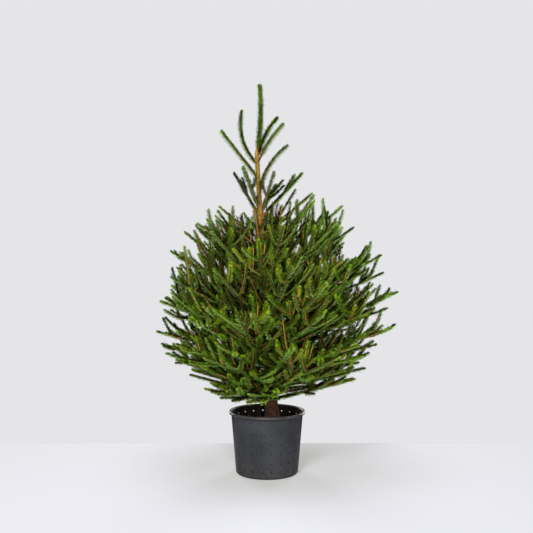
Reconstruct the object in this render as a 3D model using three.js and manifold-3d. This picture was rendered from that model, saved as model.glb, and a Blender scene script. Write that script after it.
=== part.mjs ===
// A young Norway spruce in its nursery pot, sold as a Christmas tree for a patio or a hall.
// Millimetres, +Z up. The origin is the middle of the pot's flat underside, and -Y faces the viewer.
//
// A tapered trunk rises from the compost to a fork, where a leader and the topmost shoots leave it.
// Below them whorls of boughs climb outwards, and each bough passes into a mass of foliage: one stem with
// side stems at the start of every year's growth, which carry shorter ones of their own. A stem is a slim
// three-sided core. Its needles stand out of the three sides as forward-leaning spikes, each for a tuft.
import * as THREE from "three";
import Module from "manifold-3d";

const wasm = await Module();
wasm.setup();

const CLEAR = 0.3; // gap between pieces that meet
const TWIG_CLEAR = 1; // least gap between the twigs of two masses
const OWN_CLEAR = 22; // least distance between the middles of two twigs in one mass
const OWN_ROOT = 34; // length of a twig near its root where that doesn't count
const BALL_STEP = 12; // spacing of the balls that stand for a twig when its room is tested
const SEED = 2412;

// The pot: a thin tapered tub with a flared lip and a rounded foot.
const POT = {
  height: 243,
  lipRadius: 150,
  lipHeight: 15,
  lipThick: 3.4,
  lipEdge: 1.2,
  wallTopRadius: 140,
  wallFootRadius: 122,
  footRound: 11,
  wall: 2.4,
  floor: 3,
  sides: 36,
};
const COMPOST_TOP = 206;

// The trunk leans to the left from its foot to its fork.
const TRUNK = {
  foot: new THREE.Vector3(20, 0, COMPOST_TOP + CLEAR),
  fork: new THREE.Vector3(-41, 0, 1262),
  footRadius: 23.5,
  forkRadius: 7,
  taperPower: 1.3,
  flare: 6.5,
  flareOver: 30,
  flareLobes: 5,
  lobeDepth: 0.12,
  sides: 12,
  rings: [0, 12, 30, 60, 150, 270, 400, 530, 660, 790, 920],
};

// The leader and the shoots beside it. bend and tip are [x, z], and depth is the tip's y.
const TOP_SHOOTS = [
  { name: "leader", height: 1240, bend: [-16, 1400], tip: [-30, 1523], depth: 0, bareFor: 64 },
  { name: "top_1", height: 1152, bend: [-111, 1246], tip: [-177, 1331], depth: -30, bareFor: 26 },
  { name: "top_2", height: 1206, bend: [-122, 1298], tip: [-101, 1421], depth: 34, bareFor: 26 },
  { name: "top_3", height: 1216, bend: [-24, 1326], tip: [39, 1402], depth: 70, bareFor: 84 },
  { name: "top_4", height: 1210, bend: [5, 1302], tip: [60, 1353], depth: -52, bareFor: 66 },
  { name: "top_5", height: 1074, bend: [-22, 1196], tip: [78, 1273], depth: -46, bareFor: 74 },
];
const TOP_RADIUS = 4.6;
const TOP_SPIKE = 11.5;
const LEADER_SPIKE = 8.5;
const WHORL_SPREAD = 12; // neighbours in a whorl leave the trunk this far above or below the whorl's height

// The whorls from the top down. height is where they leave the trunk. A bough is [turn, reach, tip height]:
// turn is in degrees from +X towards +Y, and reach is measured out from the trunk.
// limb is the share of a bough that is a bare limb of its own, before the foliage takes over,
// and bareFor is how much of a bough without such a limb has no needles.
// lift says how early a bough climbs: under a half it leaves the trunk nearly level and turns up.
// spike is how far its needles stand out.
const WHORLS = [
  {
    name: "spire",
    height: 1008,
    limb: 0,
    bareFor: 36,
    lift: 0.5,
    radius: 4.4,
    spike: 13,
    boughs: [
      [172, 104, 1173],
      [238, 119, 1182],
      [308, 84, 1166],
      [62, 134, 1138],
      [6, 163, 1171],
    ],
  },
  {
    name: "shoulder",
    height: 828,
    limb: 0,
    bareFor: 44,
    lift: 0.38,
    radius: 5.4,
    spike: 16,
    boughs: [
      [8, 314, 1044],
      [72, 246, 1056],
      [143, 232, 1034],
      [203, 266, 966],
      [262, 214, 1016],
      [318, 252, 1066],
    ],
  },
  {
    name: "upper",
    height: 668,
    limb: 0.28,
    bareFor: 0,
    lift: 0.32,
    radius: 7,
    spike: 17,
    boughs: [
      [354, 446, 848],
      [44, 450, 920],
      [112, 400, 920],
      [182, 366, 864],
      [266, 336, 896],
    ],
  },
  {
    name: "middle",
    height: 546,
    limb: 0.3,
    bareFor: 0,
    lift: 0.3,
    radius: 7.6,
    spike: 17,
    boughs: [
      [8, 526, 703],
      [80, 450, 744],
      [150, 462, 724],
      [214, 458, 680],
      [300, 404, 746],
    ],
  },
  {
    name: "lower",
    height: 448,
    limb: 0.3,
    bareFor: 0,
    lift: 0.3,
    radius: 7.6,
    spike: 17,
    boughs: [
      [346, 476, 575],
      [52, 446, 606],
      [124, 446, 588],
      [180, 434, 550],
      [254, 390, 640],
    ],
  },
  {
    name: "skirt",
    height: 364,
    limb: 0,
    bareFor: 70,
    lift: 0.34,
    radius: 6.6,
    spike: 17,
    boughs: [
      [20, 430, 449],
      [92, 410, 462],
      [164, 436, 451],
      [232, 372, 484],
      [308, 388, 488],
    ],
  },
  {
    name: "hem",
    height: 300,
    limb: 0,
    bareFor: 50,
    lift: 0.42,
    radius: 5.4,
    spike: 16,
    boughs: [
      [350, 324, 372],
      [74, 262, 352],
      [198, 262, 338],
      [274, 236, 340],
    ],
  },
];

// How foliage grows. year is the last season's growth at a tip, and each one before it is a little shorter.
// sides are the side stems at a knot. roll is where one points: 0 to the left, 90 up and 180 to the right.
// share is its length over what its stem has left to grow, and tries are the parts of that it may have.
// rootOut is the share of a stem's radius by which its side stems start off its middle.
const GROWTH = {
  year: 98,
  olderYear: 0.86,
  levels: 2,
  yearPerLevel: 0.88,
  firstPair: 34,
  sides: [
    { roll: 6, share: 0.66 },
    { roll: 174, share: 0.66 },
    { roll: 90, share: 0.5 },
  ],
  rollVaries: 14,
  lengthVaries: 0.12,
  tries: [1, 0.8, 0.62],
  shortest: 48,
  turn: 46,
  turnVaries: 7,
  forward: 0.16,
  upward: 0.16,
  rootOut: 0.2,
  sideBare: 22,
};

// The core of a stem and its needle spikes. pitch is about the length of core with one spike on each side.
// A spike leaves it at a share of that length, and its tip leans forward by another.
const NEEDLES = {
  pitch: 72,
  bareKnot: 11,
  sideNeck: 1.6,
  sideRoot: 3,
  tip: 2,
  spikeVaries: 0.1,
  leaveAt: 0.45,
  lean: 0.3,
  leanVaries: 0.08,
  tipShare: 0.75,
};

const MATERIALS = {
  pot: new THREE.MeshStandardMaterial({ color: 0x3b3d41, roughness: 0.55, metalness: 0 }),
  compost: new THREE.MeshStandardMaterial({ color: 0x2a1d14, roughness: 0.95, metalness: 0 }),
  bark: new THREE.MeshStandardMaterial({ color: 0x6b4a2c, roughness: 0.85, metalness: 0 }),
  needles: new THREE.MeshStandardMaterial({ color: 0x33521f, roughness: 0.6, metalness: 0 }),
};

const UP = new THREE.Vector3(0, 0, 1);
const { degToRad, lerp } = THREE.MathUtils;

// Seeded numbers from 0 to 1, the same on every run.
function seeded(seed) {
  let state = seed | 0;
  return () => {
    state = (state + 0x6d2b79f5) | 0;
    let mixed = Math.imul(state ^ (state >>> 15), 1 | state);
    mixed = (mixed + Math.imul(mixed ^ (mixed >>> 7), 61 | mixed)) ^ mixed;
    return ((mixed ^ (mixed >>> 14)) >>> 0) / 4294967296;
  };
}

// A number that differs from a middle one by the given amount at most.
function about(middle, varies, random) {
  return middle + varies * (2 * random() - 1);
}

// A solid from a list of points and a list of the triangles that join them.
function solidFrom(points, triangles) {
  return new wasm.Manifold(
    new wasm.Mesh({
      numProp: 3,
      vertProperties: new Float32Array(points.flatMap((p) => [p.x, p.y, p.z])),
      triVerts: new Uint32Array(triangles.flat()),
    }),
  );
}

// The side of an n-cornered piece, from the ring that starts at point a to the one that starts at b.
function band(a, b, n) {
  const triangles = [];
  for (let i = 0; i < n; i++) {
    const j = (i + 1) % n;
    triangles.push([a + i, a + j, b + j], [a + i, b + j, b + i]);
  }
  return triangles;
}

// A flat end over the ring that starts at point a.
function flatEnd(a, n, facesForward) {
  const triangles = [];
  for (let i = 1; i < n - 1; i++) {
    triangles.push(facesForward ? [a, a + i, a + i + 1] : [a, a + i + 1, a + i]);
  }
  return triangles;
}

// A piece turned about Z from the [radius, height] points of its profile, which starts and ends on the axis.
function turned(profile) {
  const n = POT.sides;
  const rows = profile.length;
  const lathe = new THREE.LatheGeometry(
    profile.map(([r, z]) => new THREE.Vector2(r, z)),
    n,
  );
  const position = lathe.getAttribute("position");
  // LatheGeometry turns about Y, and its last column of points repeats the first.
  const pointAt = (row, side) => {
    const k = side * rows + row;
    return new THREE.Vector3(position.getZ(k), position.getX(k), position.getY(k));
  };
  const points = [pointAt(0, 0)];
  const triangles = [];
  for (let row = 1; row < rows - 1; row++) {
    for (let side = 0; side < n; side++) points.push(pointAt(row, side));
    if (row > 1) triangles.push(...band(1 + (row - 2) * n, 1 + (row - 1) * n, n));
  }
  const lastRow = 1 + (rows - 3) * n;
  const end = points.push(pointAt(rows - 1, 0)) - 1;
  for (let i = 0; i < n; i++) {
    const j = (i + 1) % n;
    triangles.push([0, 1 + j, 1 + i], [end, lastRow + i, lastRow + j]);
  }
  return solidFrom(points, triangles);
}

function wallRadius(z) {
  const t = (z - POT.footRound) / (POT.height - POT.lipHeight - POT.footRound);
  return lerp(POT.wallFootRadius, POT.wallTopRadius, t);
}

function potSolid() {
  const { height, lipRadius, lipHeight, lipThick, lipEdge, wall, floor, footRound } = POT;
  const flareFoot = height - lipHeight;
  const flat = wallRadius(footRound) - footRound;
  const foot = [0, 30, 60, 90].map((degrees) => {
    const a = degToRad(degrees);
    return [flat + footRound * Math.sin(a), footRound * (1 - Math.cos(a))];
  });
  return turned([
    [0, 0],
    ...foot,
    [wallRadius(flareFoot), flareFoot],
    [lipRadius - lipThick, height - 2 * lipThick],
    [lipRadius, height - lipThick],
    [lipRadius, height - lipEdge],
    [lipRadius - lipEdge, height],
    [lipRadius - 2 * lipThick, height],
    [wallRadius(flareFoot) - wall, flareFoot - wall],
    [wallRadius(footRound) - wall, footRound],
    [flat, floor],
    [0, floor],
  ]);
}

function compostSolid() {
  const { wall, floor, footRound } = POT;
  const radius = (z) => wallRadius(z) - wall - CLEAR;
  return turned([
    [0, floor + CLEAR],
    [wallRadius(footRound) - footRound - CLEAR, floor + CLEAR],
    [radius(footRound), footRound + CLEAR],
    [radius(COMPOST_TOP), COMPOST_TOP],
    [0, COMPOST_TOP],
  ]);
}

// The middle of the trunk at a height.
function trunkAt(z) {
  const { foot, fork } = TRUNK;
  return foot.clone().lerp(fork, (z - foot.z) / (fork.z - foot.z));
}

function trunkRadius(z) {
  const { foot, fork, footRadius, forkRadius, taperPower } = TRUNK;
  const left = Math.max(0, (fork.z - z) / (fork.z - foot.z));
  return forkRadius + (footRadius - forkRadius) * Math.min(1, left) ** taperPower;
}

// The trunk, grown by a margin where other pieces are cut clear of it.
function trunkSolid(margin) {
  const { foot, fork, sides, rings, flare, flareOver, flareLobes, lobeDepth } = TRUNK;
  const heights = rings.map((above) => foot.z + above);
  heights[0] -= margin;
  heights.push(fork.z + margin);
  const points = [];
  const triangles = flatEnd(0, sides, false);
  heights.forEach((z, k) => {
    const middle = trunkAt(z);
    const nearFoot = Math.exp((foot.z - z) / flareOver);
    for (let i = 0; i < sides; i++) {
      const a = (2 * Math.PI * i) / sides;
      const lobe = 1 + lobeDepth * nearFoot * Math.cos(flareLobes * a);
      const r = (trunkRadius(z) + flare * nearFoot) * lobe + margin;
      points.push(middle.clone().add(new THREE.Vector3(r * Math.cos(a), r * Math.sin(a), 0)));
    }
    if (k) triangles.push(...band((k - 1) * sides, k * sides, sides));
  });
  triangles.push(...flatEnd((heights.length - 1) * sides, sides, true));
  return solidFrom(points, triangles);
}

// The line of a bough, from the middle of the trunk to its tip.
function boughLine(whorl, index) {
  const [turn, reach, tipHeight] = whorl.boughs[index];
  const a = degToRad(turn);
  const out = new THREE.Vector3(Math.cos(a), Math.sin(a), 0);
  const root = trunkAt(whorl.height + (index % 2 ? WHORL_SPREAD : -WHORL_SPREAD));
  const rise = tipHeight - root.z;
  const bend = root.clone().addScaledVector(out, reach / 2).addScaledVector(UP, whorl.lift * rise);
  const tip = root.clone().addScaledVector(out, reach).addScaledVector(UP, rise);
  return new THREE.QuadraticBezierCurve3(root, bend, tip);
}

function shootLine({ height, bend, tip, depth }) {
  return new THREE.QuadraticBezierCurve3(
    trunkAt(height),
    new THREE.Vector3(bend[0], depth / 2, bend[1]),
    new THREE.Vector3(tip[0], depth, tip[1]),
  );
}

// The stretch of a line between two shares of it.
function stretch(line, from, to) {
  const [a, middle, b] = [from, (from + to) / 2, to].map((t) => line.getPoint(t));
  const bend = middle.clone().multiplyScalar(2).addScaledVector(a, -0.5).addScaledVector(b, -0.5);
  return new THREE.QuadraticBezierCurve3(a, bend, b);
}

// Directions at a share of a line: along it, level across it, and over it.
function directions(line, t) {
  const along = line.getTangent(t).normalize();
  const across = new THREE.Vector3().crossVectors(UP, along).normalize();
  const over = new THREE.Vector3().crossVectors(along, across);
  return { along, across, over };
}

// Points around a line, where 0 degrees lies across and 90 degrees lies over it.
function ringAt(line, t, radius, degrees) {
  const { across, over } = directions(line, t);
  return degrees.map((turn) => {
    const a = degToRad(turn);
    return line
      .getPoint(t)
      .addScaledVector(across, radius * Math.cos(a))
      .addScaledVector(over, radius * Math.sin(a));
  });
}

// A bare limb: a round taper along a line.
function limbSolid(line, rootRadius, endRadius) {
  const steps = 4;
  const corners = [18, 90, 162, 234, 306];
  const n = corners.length;
  const points = [];
  const triangles = flatEnd(0, n, false);
  for (let k = 0; k <= steps; k++) {
    points.push(...ringAt(line, k / steps, lerp(rootRadius, endRadius, k / steps), corners));
    if (k) triangles.push(...band((k - 1) * n, k * n, n));
  }
  triangles.push(...flatEnd(steps * n, n, true));
  return solidFrom(points, triangles);
}

// The triangles of one side of a core: a flat patch, or a spike whose tip is the point at apex.
function coreSide(edge, apex) {
  if (apex === null) return edge.slice(2).map((corner, k) => [edge[0], edge[k + 1], corner]);
  return edge.map((corner, k) => [corner, edge[(k + 1) % edge.length], apex]);
}

// Where a stem carries side stems, as lengths from its root: at the start of each year of growth.
function knotsOf({ line, bareFor, level }) {
  if (level >= GROWTH.levels) return [];
  const length = line.getLength();
  const knots = [];
  let year = GROWTH.year * GROWTH.yearPerLevel ** level;
  let knot = length - year;
  while (knot > bareFor + GROWTH.firstPair) {
    knots.unshift(knot);
    year *= GROWTH.olderYear;
    knot -= year;
  }
  return knots;
}

// A stem's length in steps, each with its end and whether it has needles. The knots and the root have none.
function stepsOf(stem) {
  const length = stem.line.getLength();
  const { bareFor } = stem;
  const knots = knotsOf(stem).flatMap((knot) => [knot - NEEDLES.bareKnot, knot + NEEDLES.bareKnot]);
  const steps = [];
  let from = 0;
  [bareFor, ...knots, length].forEach((to, k) => {
    const needled = k % 2 === 1;
    const count = needled ? Math.max(1, Math.round((to - from) / NEEDLES.pitch)) : 1;
    for (let c = 1; c <= count; c++) steps.push({ end: lerp(from, to, c / count) / length, needled });
    from = to;
  });
  return steps;
}

// A stem with its needles.
function stemSolid(stem) {
  const { line, rootRadius, spike, seed } = stem;
  const random = seeded(seed);
  const corners = [270, 50, 130];
  const sides = [340, 90, 200];
  const points = ringAt(line, 0, stem.level ? NEEDLES.sideNeck : rootRadius, corners);
  const triangles = flatEnd(0, 3, false);
  let rear = 0;
  let start = 0;
  for (const { end, needled } of stepsOf(stem)) {
    const atTip = end === 1;
    const share = atTip ? NEEDLES.tipShare : 1;
    const middle = lerp(start, end, NEEDLES.leaveAt);
    const spikes = points.length;
    for (const side of needled ? sides : []) {
      const reach = share * spike * about(1, NEEDLES.spikeVaries, random);
      const lean = (end - start) * line.getLength() * about(NEEDLES.lean, NEEDLES.leanVaries, random);
      const [apex] = ringAt(line, middle, reach, [side]);
      points.push(apex.addScaledVector(directions(line, middle).along, lean));
    }
    const front = points.length;
    const radius = lerp(rootRadius, NEEDLES.tip, end);
    points.push(...(atTip ? [line.getPoint(1)] : ringAt(line, end, radius, corners)));
    for (let i = 0; i < 3; i++) {
      const j = (i + 1) % 3;
      const edge = [rear + i, rear + j, ...(atTip ? [front] : [front + j, front + i])];
      triangles.push(...coreSide(edge, needled ? spikes + i : null));
    }
    rear = front;
    start = end;
  }
  return solidFrom(points, triangles);
}

// The side stems that a stem may carry at its knots: one to each side and one on top.
// Each comes as a list of ways that it can grow, the longest first.
function sideStems(stem) {
  const { line, level, seed, rootRadius } = stem;
  const length = line.getLength();
  const made = [];
  knotsOf(stem).reverse().forEach((knot, age) => {
    const t = knot / length;
    const { along, across, over } = directions(line, t);
    const radius = lerp(rootRadius, NEEDLES.tip, t);
    GROWTH.sides.forEach(({ roll, share }, s) => {
      const sideSeed = (Math.imul(seed, 31) + 3 * age + s) | 0;
      const random = seeded(sideSeed);
      const longest = (length - knot) * share * about(1, GROWTH.lengthVaries, random);
      const turn = degToRad(about(GROWTH.turn, GROWTH.turnVaries, random));
      const around = degToRad(about(roll, GROWTH.rollVaries, random));
      const out = across.clone().multiplyScalar(Math.cos(around)).addScaledVector(over, Math.sin(around));
      const heading = along.clone().multiplyScalar(Math.cos(turn)).addScaledVector(out, Math.sin(turn));
      const root = line.getPoint(t).addScaledVector(out, radius * GROWTH.rootOut);
      const ways = [];
      for (const reach of GROWTH.tries.map((part) => part * longest)) {
        if (reach < GROWTH.shortest) continue;
        const bend = root.clone().addScaledVector(heading, reach / 2);
        const tip = root.clone().addScaledVector(heading, reach);
        tip.addScaledVector(along, GROWTH.forward * reach).addScaledVector(UP, GROWTH.upward * reach);
        ways.push({
          line: new THREE.QuadraticBezierCurve3(root, bend, tip),
          rootRadius: Math.min(NEEDLES.sideRoot, radius),
          bareFor: GROWTH.sideBare,
          spike: stem.spike,
          level: level + 1,
          seed: sideSeed,
        });
      }
      made.push(ways);
    });
  });
  return made;
}

// How far a stem's needles stand out at most.
function reachOf(stem) {
  return stem.spike * (1 + NEEDLES.spikeVaries);
}

// Balls strung along every limb and stem tell which side stems have room.
const balls = [];

function ballsAlong(line, radius, owner) {
  const length = line.getLength();
  const count = Math.ceil(length / BALL_STEP);
  return Array.from({ length: count + 1 }, (_, k) => {
    const t = k / count;
    return { at: line.getPoint(t), radius, owner, fromRoot: t * length };
  });
}

// Whether a string of balls keeps clear of the trunk, the pot and every other string.
// Within its own mass it only has to leave a smaller gap, and only beyond its root.
function hasRoom(string) {
  return string.every(({ at, radius, owner, fromRoot }) => {
    const fromTrunk = at.distanceTo(trunkAt(at.z)) - trunkRadius(at.z) - radius;
    if (fromTrunk < TWIG_CLEAR || at.z - radius < POT.height) return false;
    return balls.every((ball) => {
      const away = ball.at.distanceTo(at);
      if (ball.owner === owner) return fromRoot < OWN_ROOT || away > OWN_CLEAR;
      return away > ball.radius + radius + TWIG_CLEAR;
    });
  });
}

// The largest body of a solid, without loose scrap or closed hollows.
function wholeBody(solid) {
  const bodies = solid.decompose();
  bodies.sort((a, b) => b.volume() - a.volume());
  return bodies[0];
}

function meshOf(name, solid, material) {
  const made = solid.getMesh();
  const geometry = new THREE.BufferGeometry();
  geometry.setAttribute("position", new THREE.BufferAttribute(made.vertProperties, 3));
  geometry.setIndex(new THREE.BufferAttribute(made.triVerts, 1));
  geometry.computeVertexNormals();
  const mesh = new THREE.Mesh(geometry, material);
  mesh.name = name;
  return mesh;
}

const tree = new THREE.Group();
tree.name = "potted_spruce";
tree.add(meshOf("pot", potSolid(), MATERIALS.pot));
tree.add(meshOf("compost", compostSolid(), MATERIALS.compost));
tree.add(meshOf("trunk", trunkSolid(0), MATERIALS.bark));
const trunkSpace = trunkSolid(CLEAR);

// The main stem of every mass of foliage comes first, then the side stems, the larger before the smaller.
const masses = [];

function startMass(name, stem) {
  masses.push({ name, solids: [stemSolid(stem)], newest: [stem] });
  balls.push(...ballsAlong(stem.line, reachOf(stem), name));
}

TOP_SHOOTS.forEach((shoot, k) => {
  startMass(`foliage_${shoot.name}`, {
    line: shootLine(shoot),
    rootRadius: TOP_RADIUS,
    bareFor: shoot.bareFor,
    spike: k ? TOP_SPIKE : LEADER_SPIKE,
    level: GROWTH.levels,
    seed: SEED + k,
  });
});

WHORLS.forEach((whorl, w) => {
  whorl.boughs.forEach((_, b) => {
    const line = boughLine(whorl, b);
    const endRadius = lerp(whorl.radius, NEEDLES.tip, whorl.limb);
    if (whorl.limb) {
      const name = `bough_${whorl.name}_${b + 1}`;
      const limbLine = stretch(line, 0, whorl.limb);
      const limb = limbSolid(limbLine, whorl.radius, endRadius).subtract(trunkSpace);
      balls.push(...ballsAlong(limbLine, whorl.radius, name));
      tree.add(meshOf(name, wholeBody(limb), MATERIALS.bark));
    }
    const gapShare = whorl.limb ? CLEAR / line.getLength() : 0;
    startMass(`foliage_${whorl.name}_${b + 1}`, {
      line: stretch(line, whorl.limb + gapShare, 1),
      rootRadius: endRadius,
      bareFor: whorl.bareFor,
      spike: whorl.spike,
      level: 0,
      seed: SEED + 100 * (w + 1) + b,
    });
  });
});

for (let level = 1; level <= GROWTH.levels; level++) {
  for (const mass of masses) {
    const grown = [];
    for (const stem of mass.newest) {
      for (const ways of stem.level < level ? sideStems(stem) : []) {
        const side = ways.find((way) => hasRoom(ballsAlong(way.line, reachOf(way), mass.name)));
        if (!side) continue;
        balls.push(...ballsAlong(side.line, reachOf(side), mass.name));
        mass.solids.push(stemSolid(side));
        grown.push(side);
      }
    }
    mass.newest = grown;
  }
}

for (const mass of masses) {
  const fused = wasm.Manifold.union(mass.solids).subtract(trunkSpace);
  tree.add(meshOf(mass.name, wholeBody(fused), MATERIALS.needles));
}

export default tree;
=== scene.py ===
# A potted Norway spruce as it is sold for Christmas, dressed over its CAD frame.
# The boughs and twigs grow by the rule of the part's source, with the same seeds, and go on to finer twigs.
# Plant and pot sizes are in millimetres until a mesh is made. +Z is up and -Y faces the viewer.
import math

import bpy
import numpy as np
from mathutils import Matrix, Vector, noise


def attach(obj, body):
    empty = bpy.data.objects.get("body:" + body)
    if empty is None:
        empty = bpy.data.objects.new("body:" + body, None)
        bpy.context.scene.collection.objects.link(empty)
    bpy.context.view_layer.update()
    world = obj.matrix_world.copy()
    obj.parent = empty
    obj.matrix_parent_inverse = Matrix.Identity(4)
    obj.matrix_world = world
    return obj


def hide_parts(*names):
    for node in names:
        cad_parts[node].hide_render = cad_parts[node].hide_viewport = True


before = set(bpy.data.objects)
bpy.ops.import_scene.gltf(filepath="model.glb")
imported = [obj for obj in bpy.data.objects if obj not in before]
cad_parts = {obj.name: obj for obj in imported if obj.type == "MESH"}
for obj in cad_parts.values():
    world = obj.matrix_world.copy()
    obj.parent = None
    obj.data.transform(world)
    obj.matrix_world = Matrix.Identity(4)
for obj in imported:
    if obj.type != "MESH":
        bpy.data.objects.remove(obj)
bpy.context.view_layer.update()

MM = 0.001
BODY = "root"
SEED = 2412
UP = np.array([0.0, 0.0, 1.0])
GOLDEN_TURN = math.radians(137.508)

# The tub of the pot, the compost in it and the trunk, as in the part's source. Only the scene has the pot's
# holes: the heights of their rows, the turn of the first, and how many at which radius go through the base.
# The inner wall is painted near black below the lip, as shade, and soiled.
POT = {
    "height": 243, "lip_height": 15, "wall_top_radius": 140, "wall_foot_radius": 122, "foot_round": 11,
    "wall": 2.4, "floor": 3,
}
HOLES = {
    "rows": (31, 62, 99, 135, 172, 217), "first_turn": -90 + 7.2, "sides": 14,
    "base": ((6, 26), (12, 56), (18, 84)),
}
SHADED_SOILED_BELOW = 236
COMPOST_TOP = 206
TRUNK = {
    "foot": np.array([20.0, 0.0, COMPOST_TOP + 0.3]), "fork": np.array([-41.0, 0.0, 1262.0]),
    "foot_radius": 23.5, "fork_radius": 7, "taper_power": 1.3,
    "flare": 6.5, "flare_over": 30, "flare_lobes": 5, "lobe_depth": 0.12,
}

# The leader and the shoots beside it: height on the trunk, bend (x, z), tip (x, z), the tip's y, bare length.
TOP_SHOOTS = [
    ("leader", 1240, (-16, 1400), (-30, 1523), 0, 64),
    ("top_1", 1152, (-111, 1246), (-177, 1331), -30, 26),
    ("top_2", 1206, (-122, 1298), (-101, 1421), 34, 26),
    ("top_3", 1216, (-24, 1326), (39, 1402), 70, 84),
    ("top_4", 1210, (5, 1302), (60, 1353), -52, 66),
    ("top_5", 1074, (-22, 1196), (78, 1273), -46, 74),
]
TOP_SHADES = (3.3, 3.5, 4.6, 5.0, 2.8, 4.8)
TOP_RADIUS = 4.6
TOP_SPIKE = 11.5
LEADER_SPIKE = 8.5
WHORL_SPREAD = 12



def whorls_of(rows):
    names = ("name", "height", "limb", "bare_for", "lift", "radius", "spike", "boughs")
    return [dict(zip(names, row)) for row in rows]


# The whorls from the top down: name, height on the trunk, the share of a bough that is a bare limb, or else
# how far its foliage stays bare, its lift and radius, the reach of its tufts, and the boughs. A bough is its
# turn from +X, its reach from the trunk and its tip's height.
WHORLS = whorls_of([
    ("spire", 1008, 0, 36, 0.5, 4.4, 13, (
        (172, 104, 1173), (238, 119, 1182), (308, 84, 1166), (62, 134, 1138), (6, 163, 1171),
    )),
    ("shoulder", 828, 0, 44, 0.38, 5.4, 16, (
        (8, 314, 1044), (72, 246, 1056), (143, 232, 1034), (203, 266, 966), (262, 214, 1016),
        (318, 252, 1066),
    )),
    ("upper", 668, 0.28, 0, 0.32, 7, 17, (
        (354, 446, 848), (44, 450, 920), (112, 400, 920), (182, 366, 864), (266, 336, 896),
    )),
    ("middle", 546, 0.3, 0, 0.3, 7.6, 17, (
        (8, 526, 703), (80, 450, 744), (150, 462, 724), (214, 458, 680), (300, 404, 746),
    )),
    ("lower", 448, 0.3, 0, 0.3, 7.6, 17, (
        (346, 476, 575), (52, 446, 606), (124, 446, 588), (180, 434, 550), (254, 390, 640),
    )),
    ("skirt", 364, 0, 70, 0.34, 6.6, 17, (
        (20, 430, 449), (92, 410, 462), (164, 436, 451), (232, 372, 484), (308, 388, 488),
    )),
    ("hem", 300, 0, 50, 0.42, 5.4, 16, (
        (350, 324, 372), (74, 262, 352), (198, 262, 338), (274, 236, 340),
    )),
])

# Thinner boughs between the whorls, which only the scene has, in the same way.
BETWEEN_WHORLS = whorls_of([
    ("below_spire", 918, 0, 26, 0.45, 3.6, 16, (
        (28, 150, 1112), (96, 150, 1096), (176, 165, 1040), (338, 205, 1082),
    )),
    ("below_shoulder", 748, 0, 30, 0.36, 4.2, 16, (
        (184, 308, 938), (2, 350, 958), (34, 330, 985), (74, 350, 955), (116, 330, 950), (150, 300, 960),
        (230, 290, 935), (284, 290, 950), (324, 320, 965),
    )),
    ("below_upper", 607, 0, 34, 0.32, 4.4, 16, (
        (178, 350, 800), (6, 466, 780), (38, 430, 830), (76, 420, 815), (112, 420, 800), (146, 400, 790),
        (206, 390, 766), (240, 360, 800), (284, 360, 810), (326, 430, 790),
    )),
    ("below_middle", 497, 0, 34, 0.3, 4.4, 16, (
        (186, 376, 636), (2, 468, 640), (36, 450, 660), (70, 440, 650), (106, 430, 655), (138, 430, 640),
        (228, 410, 620), (262, 380, 650), (298, 400, 640), (330, 440, 650),
    )),
    ("below_lower", 406, 0, 40, 0.32, 4.2, 16, (
        (178, 420, 500), (2, 420, 498), (32, 430, 510), (68, 420, 520), (106, 420, 515), (138, 430, 505),
        (210, 390, 520), (242, 370, 530), (282, 370, 525), (322, 400, 520),
    )),
    ("below_skirt", 332, 0, 44, 0.38, 4, 16, (
        (184, 300, 402), (358, 366, 408), (40, 340, 400), (78, 310, 405), (116, 320, 400), (148, 330, 400),
        (224, 290, 420), (256, 270, 425), (292, 280, 425), (328, 320, 420),
    )),
    ("below_all", 318, 0, 34, 0.4, 3.8, 16, (
        (172, 320, 374), (190, 215, 350), (208, 250, 334), (226, 236, 330), (250, 226, 344), (276, 216, 352),
        (352, 318, 372), (14, 325, 376), (46, 320, 376), (80, 290, 370), (112, 290, 362), (146, 310, 366),
    )),
    ("below_hem", 302, 0, 24, 0.7, 3.4, 16, (
        (168, 220, 330), (184, 214, 312), (202, 204, 304), (220, 184, 300), (238, 164, 298), (258, 140, 300),
        (282, 120, 308), (16, 185, 334), (96, 190, 322), (134, 200, 320),
    )),
])

# How foliage grows in the part's source: the side stems at each year's knot, as (roll, share) pairs.
GROWTH = {
    "salt": 0, "year": 98, "older_year": 0.86, "levels": 2, "year_per_level": 0.88,
    "first_pair": 34, "sides": [(6, 0.66), (174, 0.66), (90, 0.5)], "roll_varies": 14, "length_varies": 0.12,
    "tries": (1, 0.8, 0.62), "shortest": 48, "turn": 46, "turn_varies": 7, "forward": 0.16, "upward": 0.16,
    "root_out": 0.2, "side_bare": 22, "side_root": 3, "tip": 2, "spike_varies": 0.1,
}
# For how long the ends of twigs stay young, below which height and in how many twigs of ten, and how thick
# twigs are.
YOUNG_BARK = {"for": 170, "below": 1090, "side": 6, "fine": 3}
TWIG_RADII = {"by_level": (3.0, 2.6, 2.2), "fine": 2.3, "tip": 1.4, "top_tip": 2.9, "step": 22}
CLEARANCE = {
    "gap": 0.3, "twig": 1, "own": 22, "own_root": 34, "ball_step": 12, "look": 60, "most_balls": 120000,
}

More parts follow.
